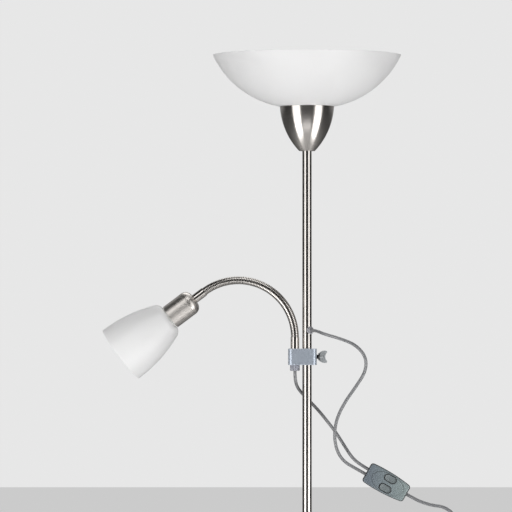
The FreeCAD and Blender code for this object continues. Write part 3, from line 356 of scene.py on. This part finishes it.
def ribbed_gland():
    """Soft clear plastic, upright ribs round the gland's axis, painted shade and highlight on
    them.
    """
    finish, tree, shader = new_finish("ribbed_gland_plastic", (0.34, 0.35, 0.40), 0.25)
    arm = vector_math(tree, "SUBTRACT", place_in_mm(tree), GLAND_AXIS)
    turn = number_math(tree, "ARCTAN2", part_of(tree, arm, "Y"), part_of(tree, arm, "X"))
    wave = number_math(tree, "SINE", number_math(tree, "MULTIPLY", turn, GLAND_RIBS))
    height = add_node(
        tree, "ShaderNodeMapRange", {"Value": wave, "From Min": -1, "From Max": 1}
    ).outputs["Result"]
    # The tint by the same wave is painted shade in the troughs and painted highlight on the
    # crests.
    tree.links.new(
        tint(tree, height, (0.16, 0.165, 0.19), (0.46, 0.47, 0.53)), shader.inputs["Base Color"]
    )
    bump(tree, shader, height, RIB_DEPTH)
    return finish


def collared_wing():
    """Grey plastic of the wing, dark up to the end of its collar."""
    finish, tree, shader = new_finish("wing_plastic", (0.30, 0.315, 0.325), 0.33)
    place = place_in_mm(tree)
    past_collar = number_math(tree, "GREATER_THAN", part_of(tree, place, "X"), COLLAR_END)
    tree.links.new(
        tint(tree, past_collar, (0.02, 0.022, 0.024), (0.31, 0.325, 0.335)),
        shader.inputs["Base Color"],
    )
    bump(tree, shader, noise(tree, place, 1.2, 3.0), SKIN_DEPTH)
    return finish


def graded_shell():
    """Plastic of the switch, cooler and darker at the end where the leads come in."""
    finish, tree, shader = new_finish("switch_shell", (0.19, 0.22, 0.23), 0.3)
    place = place_in_mm(tree)
    share = add_node(
        tree, "ShaderNodeMapRange",
        {"Value": part_of(tree, place, "X"), "From Min": SHELL_FROM, "From Max": SHELL_TO},
    ).outputs["Result"]
    tree.links.new(
        tint(tree, share, (0.14, 0.165, 0.19), (0.23, 0.275, 0.275)), shader.inputs["Base Color"]
    )
    skin = noise(tree, place, 1.5, 3.0)
    tree.links.new(between(tree, skin, 0.26, 0.34), shader.inputs["Roughness"])
    bump(tree, shader, skin, SKIN_DEPTH / 2)
    return finish


gland_plastic = ribbed_gland()
wing_plastic = collared_wing()
switch_shell = graded_shell()
print(f"gland of {GLAND_RIBS} ribs, wing and switch shell")

# %% [markdown]
# ## Plain metals, iron and felt
#
# Nuts, studs and inserts are zinc plated and dull, the contacts and pins are brass, and the
# clamp's screw is blackened. The weight in the base is a rough casting on a felt pad.

# %% Make the plain metals, iron and felt
GLOSS_SPREAD = 0.1
PATCH_SHADE = 0.85


def plain_metal(name, colour, roughness, grain_scale=0.8):
    """Plated metal whose gloss varies in soft patches."""
    finish, tree, shader = new_finish(name, colour, roughness, metallic=1.0)
    patch = noise(tree, place_in_mm(tree), grain_scale, 4.0)
    tree.links.new(
        between(tree, patch, roughness - GLOSS_SPREAD, roughness + GLOSS_SPREAD),
        shader.inputs["Roughness"],
    )
    dark = tuple(PATCH_SHADE * c for c in colour)
    tree.links.new(tint(tree, patch, dark, colour), shader.inputs["Base Color"])
    return finish


zinc = plain_metal("zinc_plate", (0.55, 0.56, 0.57), 0.35)
brass = plain_metal("brass", (0.75, 0.60, 0.32), 0.3)
black_steel = plain_metal("blackened_steel", (0.03, 0.03, 0.033), 0.4)
iron = moulded("cast_iron", (0.05, 0.05, 0.052), 0.7, pebble=0.6, depth=0.2 * MM)
felt = moulded("pressed_felt", (0.03, 0.03, 0.032), 0.95, pebble=2.0, depth=0.3 * MM)
print("zinc, brass, blackened steel, iron and felt")

# %% [markdown]
# ## Dress the solid parts
#
# Each solid part keeps its shape and only takes a finish. The reading head points along the end
# of the gooseneck, so its rings turn about that axis, which we work out once from the bend. The
# head is brushed dull, and the sleeve and the ferrule of the gooseneck are finer and brighter,
# because they are drawn tube and were hardly brushed.

# %% Work out the gooseneck's line
NECK_FOOT = Vector((-20.6, 0, 1320.4)) * MM
NECK_BEND_RADIUS = 96.7 * MM
NECK_SWEEP = math.radians(126.8)
NECK_YAW = math.radians(5)
NECK_OUTWARD = Vector((-math.cos(NECK_YAW), math.sin(NECK_YAW), 0))
NECK_SQUARE = UP.cross(NECK_OUTWARD)


def neck_way(bend):
    """Direction of the gooseneck after it has bent by an angle."""
    return NECK_OUTWARD * math.sin(bend) + UP * math.cos(bend)


def neck_point(bend):
    """Point on the gooseneck's middle line."""
    reach = NECK_BEND_RADIUS * (1 - math.cos(bend))
    return NECK_FOOT + NECK_OUTWARD * reach + UP * NECK_BEND_RADIUS * math.sin(bend)


head_nickel = brushed_nickel(
    "brushed_nickel_head", neck_point(NECK_SWEEP), neck_way(NECK_SWEEP),
    gloss=(0.34, 0.44), stretch=0.4, cut=0.001 * MM,
)
ferrule_nickel = brushed_nickel(
    "brushed_nickel_ferrule", neck_point(NECK_SWEEP), neck_way(NECK_SWEEP),
    gloss=(0.12, 0.16), stretch=0.3, cut=0.0003 * MM,
)
sleeve_nickel = brushed_nickel(
    "brushed_nickel_sleeve", NECK_FOOT, UP, gloss=(0.12, 0.16), stretch=0.3, cut=0.0003 * MM
)
neck_length = NECK_BEND_RADIUS * NECK_SWEEP
print(f"gooseneck: {neck_length:.3f} m along its bend of {math.degrees(NECK_SWEEP):.1f} degrees")

# %% [markdown]
# One list says which finish each part takes. The parts inside the lamp get theirs too, so that
# the lamp can be taken apart on the screen as it can on a bench.

# %% Give each solid part its finish
FINISHES = {
    "base_felt": felt,
    "base_weight": iron,
    "base_cover": nickel,
    "base_collar": nickel,
    "base_washer": zinc,
    "base_nut": zinc,
    "base_stud": zinc,
    "pole_lower": nickel,
    "pole_middle": nickel,
    "pole_upper": nickel,
    "pole_inserts": zinc,
    "pole_studs": zinc,
    "pole_grommet": grommet_rubber,
    "pole_lead": cord_sheath,
    "uplight_cup": nickel,
    "uplight_nipple": zinc,
    "uplight_nuts": zinc,
    "uplight_holder": holder_plastic,
    "uplight_contacts": brass,
    "uplight_gallery": zinc,
    "uplight_ring": holder_plastic,
    "bowl_shade": bowl_glass,
    "uplight_bulb_cap": zinc,
    "uplight_bulb_globe": bulb_glass,
    "clamp_bush": clear_plastic,
    "clamp_block": clamp_plastic,
    "clamp_screw_shank": black_steel,
    "clamp_wing": wing_plastic,
    "cord_gland": gland_plastic,
    "neck_sleeve_lower": sleeve_nickel,
    "neck_ferrule_upper": ferrule_nickel,
    "reading_cup": head_nickel,
    "reading_nut": zinc,
    "reading_holder": holder_plastic,
    "reading_contacts": brass,
    "reading_shade": shade_glass,
    "reading_ring": holder_plastic,
    "reading_bulb_cap": zinc,
    "reading_bulb_globe": bulb_glass,
    "switch_bottom": switch_shell,
    "switch_top": switch_shell,
    "switch_rocker_a": rocker_plastic,
    "switch_rocker_b": rocker_plastic,
    "switch_contacts": brass,
    "switch_terminals": brass,
    "switch_screws": zinc,
    "switch_cord_clamps": holder_plastic,
    "plug_body": plug_rubber,
    "plug_pins": brass,
}
for name, finish in FINISHES.items():
    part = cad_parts[name]
    part.data.materials.clear()
    part.data.materials.append(finish)
print(f"{len(FINISHES)} parts dressed")

# %% [markdown]
# ## The cords
#
# A cord is a fixed length of something flexible. We give a smooth NURBS curve the points that
# the cord was seen to follow, and a round section. A poly line with rounded corners would look
# like bent wire.

# %% Helpers for cords
CORD_DIAMETER = 5.4 * MM
SWITCH_CENTRE = Vector((135.0, -8.0, 1073.1)) * MM
SWITCH_SLOPE = math.radians(29.7)
SWITCH_ALONG = Vector((math.cos(SWITCH_SLOPE), 0, -math.sin(SWITCH_SLOPE)))
SWITCH_ACROSS = Vector((math.sin(SWITCH_SLOPE), 0, math.cos(SWITCH_SLOPE)))
SWITCH_FACE = Vector((0, -1, 0))
PORT_DEPTH = 30.5 * MM
PORT_SPACING = 9.2 * MM
CURVE_STEPS = 10
ROUND_STEPS = 6


def switch_point(along, across, out=0.0):
    """Point in the switch's own directions, from its middle."""
    return SWITCH_CENTRE + SWITCH_ALONG * along + SWITCH_ACROSS * across + SWITCH_FACE * out


def cord_curve(name, route):
    """Round cord on one smooth curve through the air."""
    curve = bpy.data.curves.new(name, "CURVE")
    curve.dimensions = "3D"
    spline = curve.splines.new("NURBS")
    spline.points.add(len(route) - 1)
    for point, place in zip(spline.points, route):
        point.co = (*place, 1)
    spline.order_u = 3
    spline.use_endpoint_u = True
    curve.resolution_u = CURVE_STEPS
    piece = bpy.data.objects.new(name, curve)
    bpy.context.scene.collection.objects.link(piece)
    return piece


def centre_line(piece):
    """Points read from the cord's own curve, before it has a thickness."""
    line = bpy.data.meshes.new_from_object(piece)
    points = [vertex.co.copy() for vertex in line.vertices]
    bpy.data.meshes.remove(line)
    return points


def thicken(piece, finish):
    """Give the cord its round section and its sheath."""
    piece.data.bevel_depth = CORD_DIAMETER / 2
    piece.data.bevel_resolution = ROUND_STEPS
    piece.data.use_fill_caps = True
    piece.data.materials.append(finish)


def length_of(points):
    """Length of a line through points."""
    return sum((b - a).length for a, b in zip(points, points[1:]))


def in_metres(points):
    """Points in millimetres as vectors in metres."""
    return [Vector(point) * MM for point in points]


print(f"cord of {CORD_DIAMETER / MM:.1f} mm, switch ports {PORT_SPACING / MM:.1f} mm apart")

# %% [markdown]
# The uplight's lead swings out of its grommet, loops forward and falls to the switch. Its points
# follow the drawing's route. It ends in the lower of the switch's two incoming ports.

# %% Draw the uplight's lead
UPLIGHT_ROUTE = in_metres([
    (5.66, -5.66, 1332.0),
    (14.0, -14.0, 1332.0),
    (29.0, -27.0, 1325.5),
    (56.0, -37.0, 1318.0),
    (82.0, -41.0, 1307.5),
    (99.5, -40.0, 1287.0),
    (99.0, -35.0, 1263.0),
    (84.0, -30.0, 1239.0),
    (64.0, -25.5, 1211.0),
    (50.0, -22.0, 1183.0),
    (45.5, -19.5, 1155.0),
    (50.0, -16.5, 1128.0),
    (62.0, -12.0, 1109.5),
    (83.0, -8.0, 1097.3),
])
low_port = switch_point(-PORT_DEPTH, -PORT_SPACING / 2)
high_port = switch_point(-PORT_DEPTH, PORT_SPACING / 2)
out_port = switch_point(PORT_DEPTH, 0)
lead_uplight = cord_curve("lead_uplight", UPLIGHT_ROUTE + [low_port])
uplight_length = length_of(centre_line(lead_uplight))
thicken(lead_uplight, cord_sheath)
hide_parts("cord_uplight")
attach(lead_uplight, "root")
print(f"uplight lead: {uplight_length:.3f} m")

# %% [markdown]
# The reading light's lead leaves the gland under the clamp, passes behind the pole and drops to
# the same switch. The clamp turns and slides on the pole, so this lead is two mesh tubes that
# meet end to end, one above the other. Each tube is taken from its curve as a mesh.

# %% Draw the reading light's lead
READING_UPPER_ROUTE = in_metres([
    (-20.6, 0.0, 1269.0),
    (-20.6, 0.0, 1251.0),
    (-17.3, 8.8, 1236.0),
    (-7.0, 16.6, 1223.0),
    (5.0, 18.0, 1211.0),
])
READING_LOWER_ROUTE = in_metres([
    (5.0, 18.0, 1211.0),
    (17.0, 19.4, 1199.0),
    (33.0, 13.5, 1179.5),
    (50.0, 5.0, 1157.5),
    (64.0, -2.0, 1135.0),
    (77.0, -6.0, 1115.0),
    (92.0, -8.0, 1103.0),
])


def cord_mesh(name, route, finish):
    """Cord as a mesh tube, with the line that it follows."""
    drawn = cord_curve(name + "_line", route)
    line = centre_line(drawn)
    thicken(drawn, finish)
    tube = bpy.data.objects.new(name, bpy.data.meshes.new_from_object(drawn))
    tube.data.name = name
    bpy.data.objects.remove(drawn)
    bpy.context.scene.collection.objects.link(tube)
    return tube, line


def bending_lead(name, route, node):
    """Cord between two bodies, as a mesh tube in place of the drawn one."""
    tube, line = cord_mesh(name, route, cord_sheath)
    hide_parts(node)
    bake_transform(tube)
    print(f"{name}: {length_of(line):.3f} m")


bending_lead(
    "lead_reading_upper", READING_UPPER_ROUTE, "cord_reading_upper",
)
bending_lead(
    "lead_reading_lower", READING_LOWER_ROUTE + [high_port], "cord_reading_lower",
)

# %% [markdown]
# The mains lead leaves the switch, falls to the floor and ends in a plug. The length that isn't
# needed lies beside the base in a neat coil: in along the floor, up a layer and out again. A
# loop works out the coil's points, and they are simply more points of the same curve. Its last
# points lead off the coil and ten millimetres into the plug.

# %% Draw the mains lead and its coil
MAINS_ROUTE = in_metres([
    (177.0, -8.0, 1049.0),
    (192.0, -9.0, 1041.3),
    (212.0, -10.0, 1035.2),
    (232.0, -12.0, 1033.0),
    (250.0, -14.0, 1020.0),
    (257.0, -16.0, 992.0),
    (259.2, -18.0, 938.0),
    (261.0, -20.5, 868.0),
    (261.6, -23.0, 796.0),
    (261.0, -25.5, 724.0),
    (259.4, -28.0, 652.0),
    (256.8, -30.5, 580.0),
    (253.3, -33.0, 508.0),
    (249.0, -35.5, 436.0),
    (244.0, -38.0, 364.0),
    (238.6, -40.5, 292.0),
    (233.4, -43.0, 220.0),
    (229.3, -45.0, 150.0),
    (227.0, -46.5, 96.0),
    (226.0, -44.5, 55.0),
    (226.0, -34.0, 22.0),
    (226.0, -11.0, 2.7),
])
PLUG_ROUTE = in_metres([
    (154.0, 8.0, 8.7),
    (154.0, -4.0, 7.4),
    (154.0, -14.0, 6.85),
])
PLUG_GRIP = 10 * MM
COIL_CENTRE = Vector((190, 20, 0)) * MM
COIL_RADIUS = 36 * MM
COIL_PITCH = 6 * MM
LAYER_TURNS = 2.0
CLIMB_TURNS = 0.5
POINTS_A_TURN = 20


def coil_point(turns):
    """Point on the coil: two turns in along the floor, a climb, and two turns out on top."""
    middle = LAYER_TURNS + CLIMB_TURNS / 2
    inward = middle - abs(turns - middle)
    radius = COIL_RADIUS - COIL_PITCH * inward
    climb = min(max((turns - LAYER_TURNS) / CLIMB_TURNS, 0), 1)
    height = CORD_DIAMETER / 2 + COIL_PITCH * (1 - math.cos(math.pi * climb)) / 2
    angle = 2 * math.pi * turns
    return COIL_CENTRE + Vector((radius * math.cos(angle), radius * math.sin(angle), height))


coil_steps = round((2 * LAYER_TURNS + CLIMB_TURNS) * POINTS_A_TURN)
coil_route = [coil_point(k / POINTS_A_TURN) for k in range(coil_steps + 1)]
in_plug = PLUG_ROUTE[-1] - Vector((0, PLUG_GRIP, 0))
lead_mains = cord_curve(
    "lead_mains", [out_port] + MAINS_ROUTE + coil_route + PLUG_ROUTE + [in_plug]
)
mains_length = length_of(centre_line(lead_mains))
thicken(lead_mains, cord_sheath)
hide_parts("cord_mains", "cord_coil")
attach(lead_mains, "root")
print(f"mains lead: {mains_length:.3f} m")

# %% [markdown]
# ## Small pieces of the switch and the clamp screw
#
# Round each rocker lies a thin near-black bead: its colour is painted shade, which stands in for
# the shaded gap between the rocker and the shell. A raised bead runs round the gripping field of
# the shell, as it does on the mould. Both are a closed curve with a round section. A helper
# makes such a bead along any row of points.

# %% Add the painted shade round the rockers and the bead of the gripping field
FIELD_OUT = 11.2 * MM
ROCKER_PLACE = 1.7 * MM
ROCKER_SPACING = 18.4 * MM
ROCKER_SHADE_LENGTH = 21.9 * MM
ROCKER_SHADE_WIDTH = 12.3 * MM
ROCKER_SHADE_RADIUS = 0.65 * MM
END_STEPS = 16
BEAD_LENGTH = 56.0 * MM
BEAD_WIDTH = 31.6 * MM
BEAD_RADIUS = 0.8 * MM
BEAD_POINTS = 96
BEAD_STEPS = 3


def bead(name, points, radius, finish, closed):
    """Round bead along points."""
    curve = bpy.data.curves.new(name, "CURVE")
    curve.dimensions = "3D"
    spline = curve.splines.new("POLY")
    spline.points.add(len(points) - 1)
    for point, place in zip(spline.points, points):
        point.co = (*place, 1)
    spline.use_cyclic_u = closed
    curve.bevel_depth = radius
    curve.bevel_resolution = BEAD_STEPS
    curve.use_fill_caps = not closed
    curve.materials.append(finish)
    piece = bpy.data.objects.new(name, curve)
    bpy.context.scene.collection.objects.link(piece)
    return piece


def stadium_loop(along, across, length, width, out):
    """Points round a slot with half-round ends, in the switch's face."""
    straight = (length - width) / 2
    points = []
    for side in (1, -1):
        for k in range(END_STEPS + 1):
            turn = math.pi * (k / END_STEPS - 0.5)
            points.append(
                switch_point(
                    along + side * (straight + width / 2 * math.cos(turn)),
                    across + side * width / 2 * math.sin(turn),
                    out,
                )
            )
    return points


# Each near-black bead round a rocker is painted shade of the gap between rocker and shell.
for letter, side in (("a", -1), ("b", 1)):
    loop = stadium_loop(
        ROCKER_PLACE, side * ROCKER_SPACING / 2, ROCKER_SHADE_LENGTH, ROCKER_SHADE_WIDTH, FIELD_OUT
    )
    rocker_gap_shade = bead(f"rocker_painted_shade_{letter}", loop, ROCKER_SHADE_RADIUS, painted_gap_shade, True)
    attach(rocker_gap_shade, "root")

oval = [
    switch_point(
        ROCKER_PLACE + BEAD_LENGTH / 2 * math.cos(2 * math.pi * k / BEAD_POINTS),
        BEAD_WIDTH / 2 * math.sin(2 * math.pi * k / BEAD_POINTS),
        FIELD_OUT - BEAD_RADIUS / 2,
    )
    for k in range(BEAD_POINTS)
]
field_bead = bead("field_bead", oval, BEAD_RADIUS, switch_shell, True)
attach(field_bead, "root")
print(f"two seals, and a bead round a field of {BEAD_LENGTH / MM:.0f} mm")

# %% [markdown]
# The two shells of the switch meet in a seam. A near-black bead along it is painted shade of the
# gap between the shells, and a near-black ring round each lead is painted shade of the hole that
# it enters. The shell's sides are a shallow curve through three widths, so the seam follows the
# same curve, and a quarter circle takes it round each corner.

# %% Add the painted shade of the seam and of the leads' holes
SEAM_RADIUS = 1.0 * MM
SEAM_PROUD = 0.5 * MM
SHELL_END = 37.5 * MM
SHELL_IN = 17.0 * MM
SHELL_MIDDLE = 18.2 * MM
SHELL_OUT = 14.25 * MM
SHELL_CORNER = 4.5 * MM
SIDE_STEPS = 12
CORNER_STEPS = 6
RING_RADIUS = 3.1 * MM
RING_BEAD = 0.9 * MM
RING_POINTS = 24


def side_reach(share):
    """Half of the shell's width, from 0 at the incoming end to 1 at the other."""
    near, far = 1 - share, share
    ends = SHELL_IN * near * (near - far) + SHELL_OUT * far * (far - near)
    return ends + SHELL_MIDDLE * 4 * near * far


def seam_corner(share, way):
    """Quarter circle from the shell's side to its end, the incoming (-1) or outgoing (1) one."""
    points = []
    for k in range(CORNER_STEPS + 1):
        turn = math.pi / 2 * k / CORNER_STEPS
        points.append((
            way * (SHELL_END - SHELL_CORNER * (1 - math.sin(turn))),
            side_reach(share) - SHELL_CORNER * (1 - math.cos(turn)),
        ))
    return points


def seam_side():
    """One side of the seam, from the incoming end to the outgoing one, corners rounded."""
    first = SHELL_CORNER / (2 * SHELL_END)
    line = seam_corner(first, -1)[-2::-1]
    for k in range(SIDE_STEPS + 1):
        share = first + (1 - 2 * first) * k / SIDE_STEPS
        line.append((-SHELL_END + 2 * SHELL_END * share, side_reach(share)))
    return line + seam_corner(1 - first, 1)[1:]


upper = seam_side()
swell = 1 + SEAM_PROUD / SHELL_END
loop = [switch_point(along * swell, across) for along, across in upper]
loop += [switch_point(along * swell, -across) for along, across in reversed(upper)]
# The near-black bead along the seam is painted shade of the gap between the shells.
seam_painted_shade = bead("seam_painted_shade", loop, SEAM_RADIUS, painted_gap_shade, True)
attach(seam_painted_shade, "root")

# Each near-black ring is painted shade of the hole where a lead enters the shell.
for name, along, across in (
    ("port_painted_shade_low", -SHELL_END, -PORT_SPACING / 2),
    ("port_painted_shade_high", -SHELL_END, PORT_SPACING / 2),
    ("port_painted_shade_out", SHELL_END, 0),
):
    ring = [
        switch_point(
            along,
            across + RING_RADIUS * math.cos(2 * math.pi * k / RING_POINTS),
            RING_RADIUS * math.sin(2 * math.pi * k / RING_POINTS),
        )
        for k in range(RING_POINTS)
    ]
    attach(bead(name, ring, RING_BEAD, painted_gap_shade, True), "root")
print(f"seam of {len(loop)} points, three rings of {2 * RING_RADIUS / MM:.1f} mm")

# %% [markdown]
# The clamp's screw is threaded. The drawing holds a plain shank, so the thread is one more round
# section, along a helix. A bump would do for a picture, but the crest shows in the outline.

# %% Cut the thread of the clamp's screw
THREAD_PITCH = 1.0 * MM
THREAD_RADIUS = 3.35 * MM
THREAD_CREST = 0.25 * MM
THREAD_START = Vector((16.6, 0, 1287.05)) * MM
THREAD_LENGTH = 4.2 * MM
THREAD_STEPS = 24

thread_turns = THREAD_LENGTH / THREAD_PITCH
thread_points = round(thread_turns * THREAD_STEPS)
helix = []
for k in range(thread_points + 1):
    turn = 2 * math.pi * k / THREAD_STEPS
    step = (
        THREAD_LENGTH * k / thread_points,
        THREAD_RADIUS * math.cos(turn),
        THREAD_RADIUS * math.sin(turn),
    )
    helix.append(THREAD_START + Vector(step))
screw_thread = bead("screw_thread", helix, THREAD_CREST, black_steel, False)
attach(screw_thread, "clamp_screw")
print(f"thread: {thread_turns:.1f} turns")

# %% [markdown]
# ## The gooseneck
#
# A gooseneck is a close-wound spring of steel wire with a second wire pressed into its groove,
# so it holds where it is bent. From outside it looks like a screw thread, with broad, nearly
# flat crests and a narrow dark gap between them. Separate rings would be simpler, but the real
# ridge is one helix, and so is this mesh: across a ridge, its radius falls a little from the
# middle of the crest and then steeply into the gap. The gap takes a darker finish, because
# hardly any light reaches the bottom of it.

# %% Wind the gooseneck
RIDGE_PITCH = 2.8 * MM
HOSE_CREST = 6.7 * MM
GROOVE_DEPTH = 0.9 * MM
CREST_FALL = 0.06
GROOVE_POWER = 12
GAP_SHARE = 0.70
STEPS_A_RIDGE = 14
SIDES = 36
hose_nickel = plain_metal("hose_nickel", NICKEL_TONE, 0.18, grain_scale=0.05)
hose_gap = plain_metal("hose_gap", (0.06, 0.055, 0.05), 0.5, grain_scale=0.05)


def ridge_share(bend, side):
    """Place across a ridge: 0 in the middle of the crest, -1 and 1 in the gaps beside it."""
    phase = bend * NECK_BEND_RADIUS / RIDGE_PITCH - side / SIDES
    return 2 * (phase - math.floor(phase)) - 1


def hose_radius(share):
    """Radius of the hose at a place across a ridge."""
    fall = CREST_FALL * share**2 + (1 - CREST_FALL) * share**GROOVE_POWER
    return HOSE_CREST - GROOVE_DEPTH * fall


def hose_stretch(name, first, last):
    """Stretch of hose between two bends, its surface one continuous helical ridge."""
    rings = round((last - first) * NECK_BEND_RADIUS / RIDGE_PITCH * STEPS_A_RIDGE)
    points = []
    for k in range(rings + 1):
        bend = first + (last - first) * k / rings
        middle = neck_point(bend)
        inner = neck_way(bend).cross(NECK_SQUARE)
        for side in range(SIDES):
            turn = 2 * math.pi * side / SIDES
            out = inner * math.cos(turn) + NECK_SQUARE * math.sin(turn)
            points.append(middle + out * hose_radius(ridge_share(bend, side)))
    faces = [
        (k * SIDES + s, k * SIDES + (s + 1) % SIDES, (k + 1) * SIDES + (s + 1) % SIDES,
         (k + 1) * SIDES + s)
        for k in range(rings)
        for s in range(SIDES)
    ]
    mesh = bpy.data.meshes.new(name)
    mesh.from_pydata(points, [], faces)
    mesh.shade_smooth()
    mesh.materials.append(hose_nickel)
    mesh.materials.append(hose_gap)
    for face in mesh.polygons:
        ring, side = divmod(face.index, SIDES)
        bend = first + (last - first) * (ring + 0.5) / rings
        if abs(ridge_share(bend, side + 0.5)) > GAP_SHARE:
            face.material_index = 1
    hose = bpy.data.objects.new(name, mesh)
    bpy.context.scene.collection.objects.link(hose)
    return hose


print(f"a ridge every {RIDGE_PITCH / MM:.1f} mm, {SIDES} points round it")

# %% [markdown]
# The hose bends where its two joints are, so it is made in three stretches. The middle one moves
# with the middle body as a rigid piece, and the two beside it stay where they are made. The
# shares of the sweep where they meet are those of the drawing.

# %% Join the three stretches of hose
LOWER_END = 0.32 * NECK_SWEEP
UPPER_START = 0.68 * NECK_SWEEP
hose_lower = hose_stretch("hose_lower", 0, LOWER_END)
hose_middle = hose_stretch("hose_middle", LOWER_END, UPPER_START)
hose_upper = hose_stretch("hose_upper", UPPER_START, NECK_SWEEP)
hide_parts("neck_hose_lower")
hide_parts("neck_hose_middle")
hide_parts("neck_hose_upper")
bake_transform(hose_lower)
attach(hose_middle, "neck_middle")
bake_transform(hose_upper)
print(f"hose: {neck_length / RIDGE_PITCH:.0f} ridges")

# %% [markdown]
# ## Studio
#
# The metal shows the room. Two tall soft boxes stand in front, one on each side, and draw the
# two bright bands on every tube and cup. Between them the room is dim, which gives the dark
# middle band. Each has a low box beside it, which the undersides of the cups see. A top box and
# a back box light the rim and the inside of the bowl, and a small box on the floor lifts its
# underside. One large light would be simpler, but would leave a single band on the metal.

# %% Set up the soft boxes
LOW_SHARE = 0.68


def soft_box(name, azimuth, distance, size, middle, aim, glow):
    """Area light of an even glow. Azimuth 0 is at the camera and grows to the right."""
    turn = math.radians(azimuth)
    data = bpy.data.lights.new(name, "AREA")
    data.shape = "RECTANGLE"
    data.size, data.size_y = size
    data.energy = glow * math.pi * size[0] * size[1]
    box = bpy.data.objects.new(name, data)
    box.location = (distance * math.sin(turn), -distance * math.cos(turn), middle)
    sight = Vector((0, 0, aim)) - box.location
    box.rotation_euler = sight.to_track_quat("-Z", "Y").to_euler()
    bpy.context.scene.collection.objects.link(box)


for side, azimuth, width in (("left", -48, 1.40), ("right", 51, 1.34)):
    soft_box(
        f"soft_box_{side}", azimuth, distance=2.2, size=(width, 2.8), middle=1.5, aim=1.5, glow=1.9
    )
    soft_box(
        f"low_box_{side}", azimuth, distance=1.5, size=(LOW_SHARE * width, 1.1), middle=0.55,
        aim=1.65, glow=2.7,
    )
soft_box("top_box", 0, distance=1.2, size=(1.6, 1.2), middle=3.3, aim=1.4, glow=2.0)
soft_box("back_box", 180, distance=1.4, size=(2.0, 1.4), middle=3.3, aim=1.2, glow=1.8)
soft_box("floor_box", 0, distance=1.9, size=(1.5, 0.7), middle=0.15, aim=1.7, glow=1.3)
print(f"{len(bpy.data.lights)} soft boxes")

# %% [markdown]
# The world is two things at once. The camera sees an even pale wall. Everything else sees a room
# that is nearly dark in front, where the photographer stands, and pale behind the lamp, so that
# the edges of the metal pick up the wall. The light path tells the two apart.

# %% Colour the room
CAMERA_PALE = 0.80
ROOM_FRONT = 0.01
ROOM_BACK = 0.30
BACK_FROM, BACK_TO = 0.2, 0.6
WHITE = (1, 1, 1, 1)
WALL_TONE = (CAMERA_PALE, CAMERA_PALE, CAMERA_PALE, 1)
world = bpy.data.worlds.new("studio")
world.use_nodes = True
bpy.context.scene.world = world
tree = world.node_tree
way = add_node(tree, "ShaderNodeTexCoord").outputs["Generated"]
room = add_node(
    tree, "ShaderNodeMapRange",
    {
        "Value": part_of(tree, way, "Y"), "From Min": BACK_FROM, "From Max": BACK_TO,
        "To Min": ROOM_FRONT, "To Max": ROOM_BACK,
    },
).outputs["Result"]
dim = add_node(tree, "ShaderNodeBackground", {"Color": WHITE, "Strength": room})
pale = add_node(tree, "ShaderNodeBackground", {"Color": WALL_TONE})
seen = add_node(tree, "ShaderNodeLightPath").outputs["Is Camera Ray"]
mix = add_node(
    tree, "ShaderNodeMixShader",
    {0: seen, 1: dim.outputs["Background"], 2: pale.outputs["Background"]},
)
tree.links.new(mix.outputs["Shader"], tree.nodes["World Output"].inputs["Surface"])
print(f"wall at {CAMERA_PALE}, room from {ROOM_FRONT} in front to {ROOM_BACK} behind")

# %% [markdown]
# The floor is matt pale paper. It reflects light on the lamp as paper does, and to the camera it
# also glows with most of the wall's tone, so it stays pale from every side. A shadow still shows
# faintly on it. It lies half a millimetre below the lamp's felt.

# %% Lay the floor
FLOOR_SIZE = 60.0
FLOOR_DROP = 0.5 * MM
FLOOR_PALE = 0.72
FLOOR_TONE = (0.74, 0.74, 0.74)
half = FLOOR_SIZE / 2
floor_mesh = bpy.data.meshes.new("floor")
floor_mesh.from_pydata(
    [(-half, -half, 0), (half, -half, 0), (half, half, 0), (-half, half, 0)], [], [(0, 1, 2, 3)]
)
floor = bpy.data.objects.new("floor", floor_mesh)
floor.location.z = -FLOOR_DROP
bpy.context.scene.collection.objects.link(floor)
floor_paint, tree, shader = new_finish("floor_paint", FLOOR_TONE, 0.8)
seen = add_node(tree, "ShaderNodeLightPath").outputs["Is Camera Ray"]
share = number_math(tree, "MULTIPLY", seen, FLOOR_PALE)
glow = add_node(tree, "ShaderNodeEmission", {"Color": WALL_TONE})
mix = add_node(
    tree, "ShaderNodeMixShader",
    {0: share, 1: shader.outputs["BSDF"], 2: glow.outputs["Emission"]},
)
tree.links.new(mix.outputs["Shader"], tree.nodes["Material Output"].inputs["Surface"])
floor_mesh.materials.append(floor_paint)
print(f"floor {FLOOR_SIZE:.0f} m square")
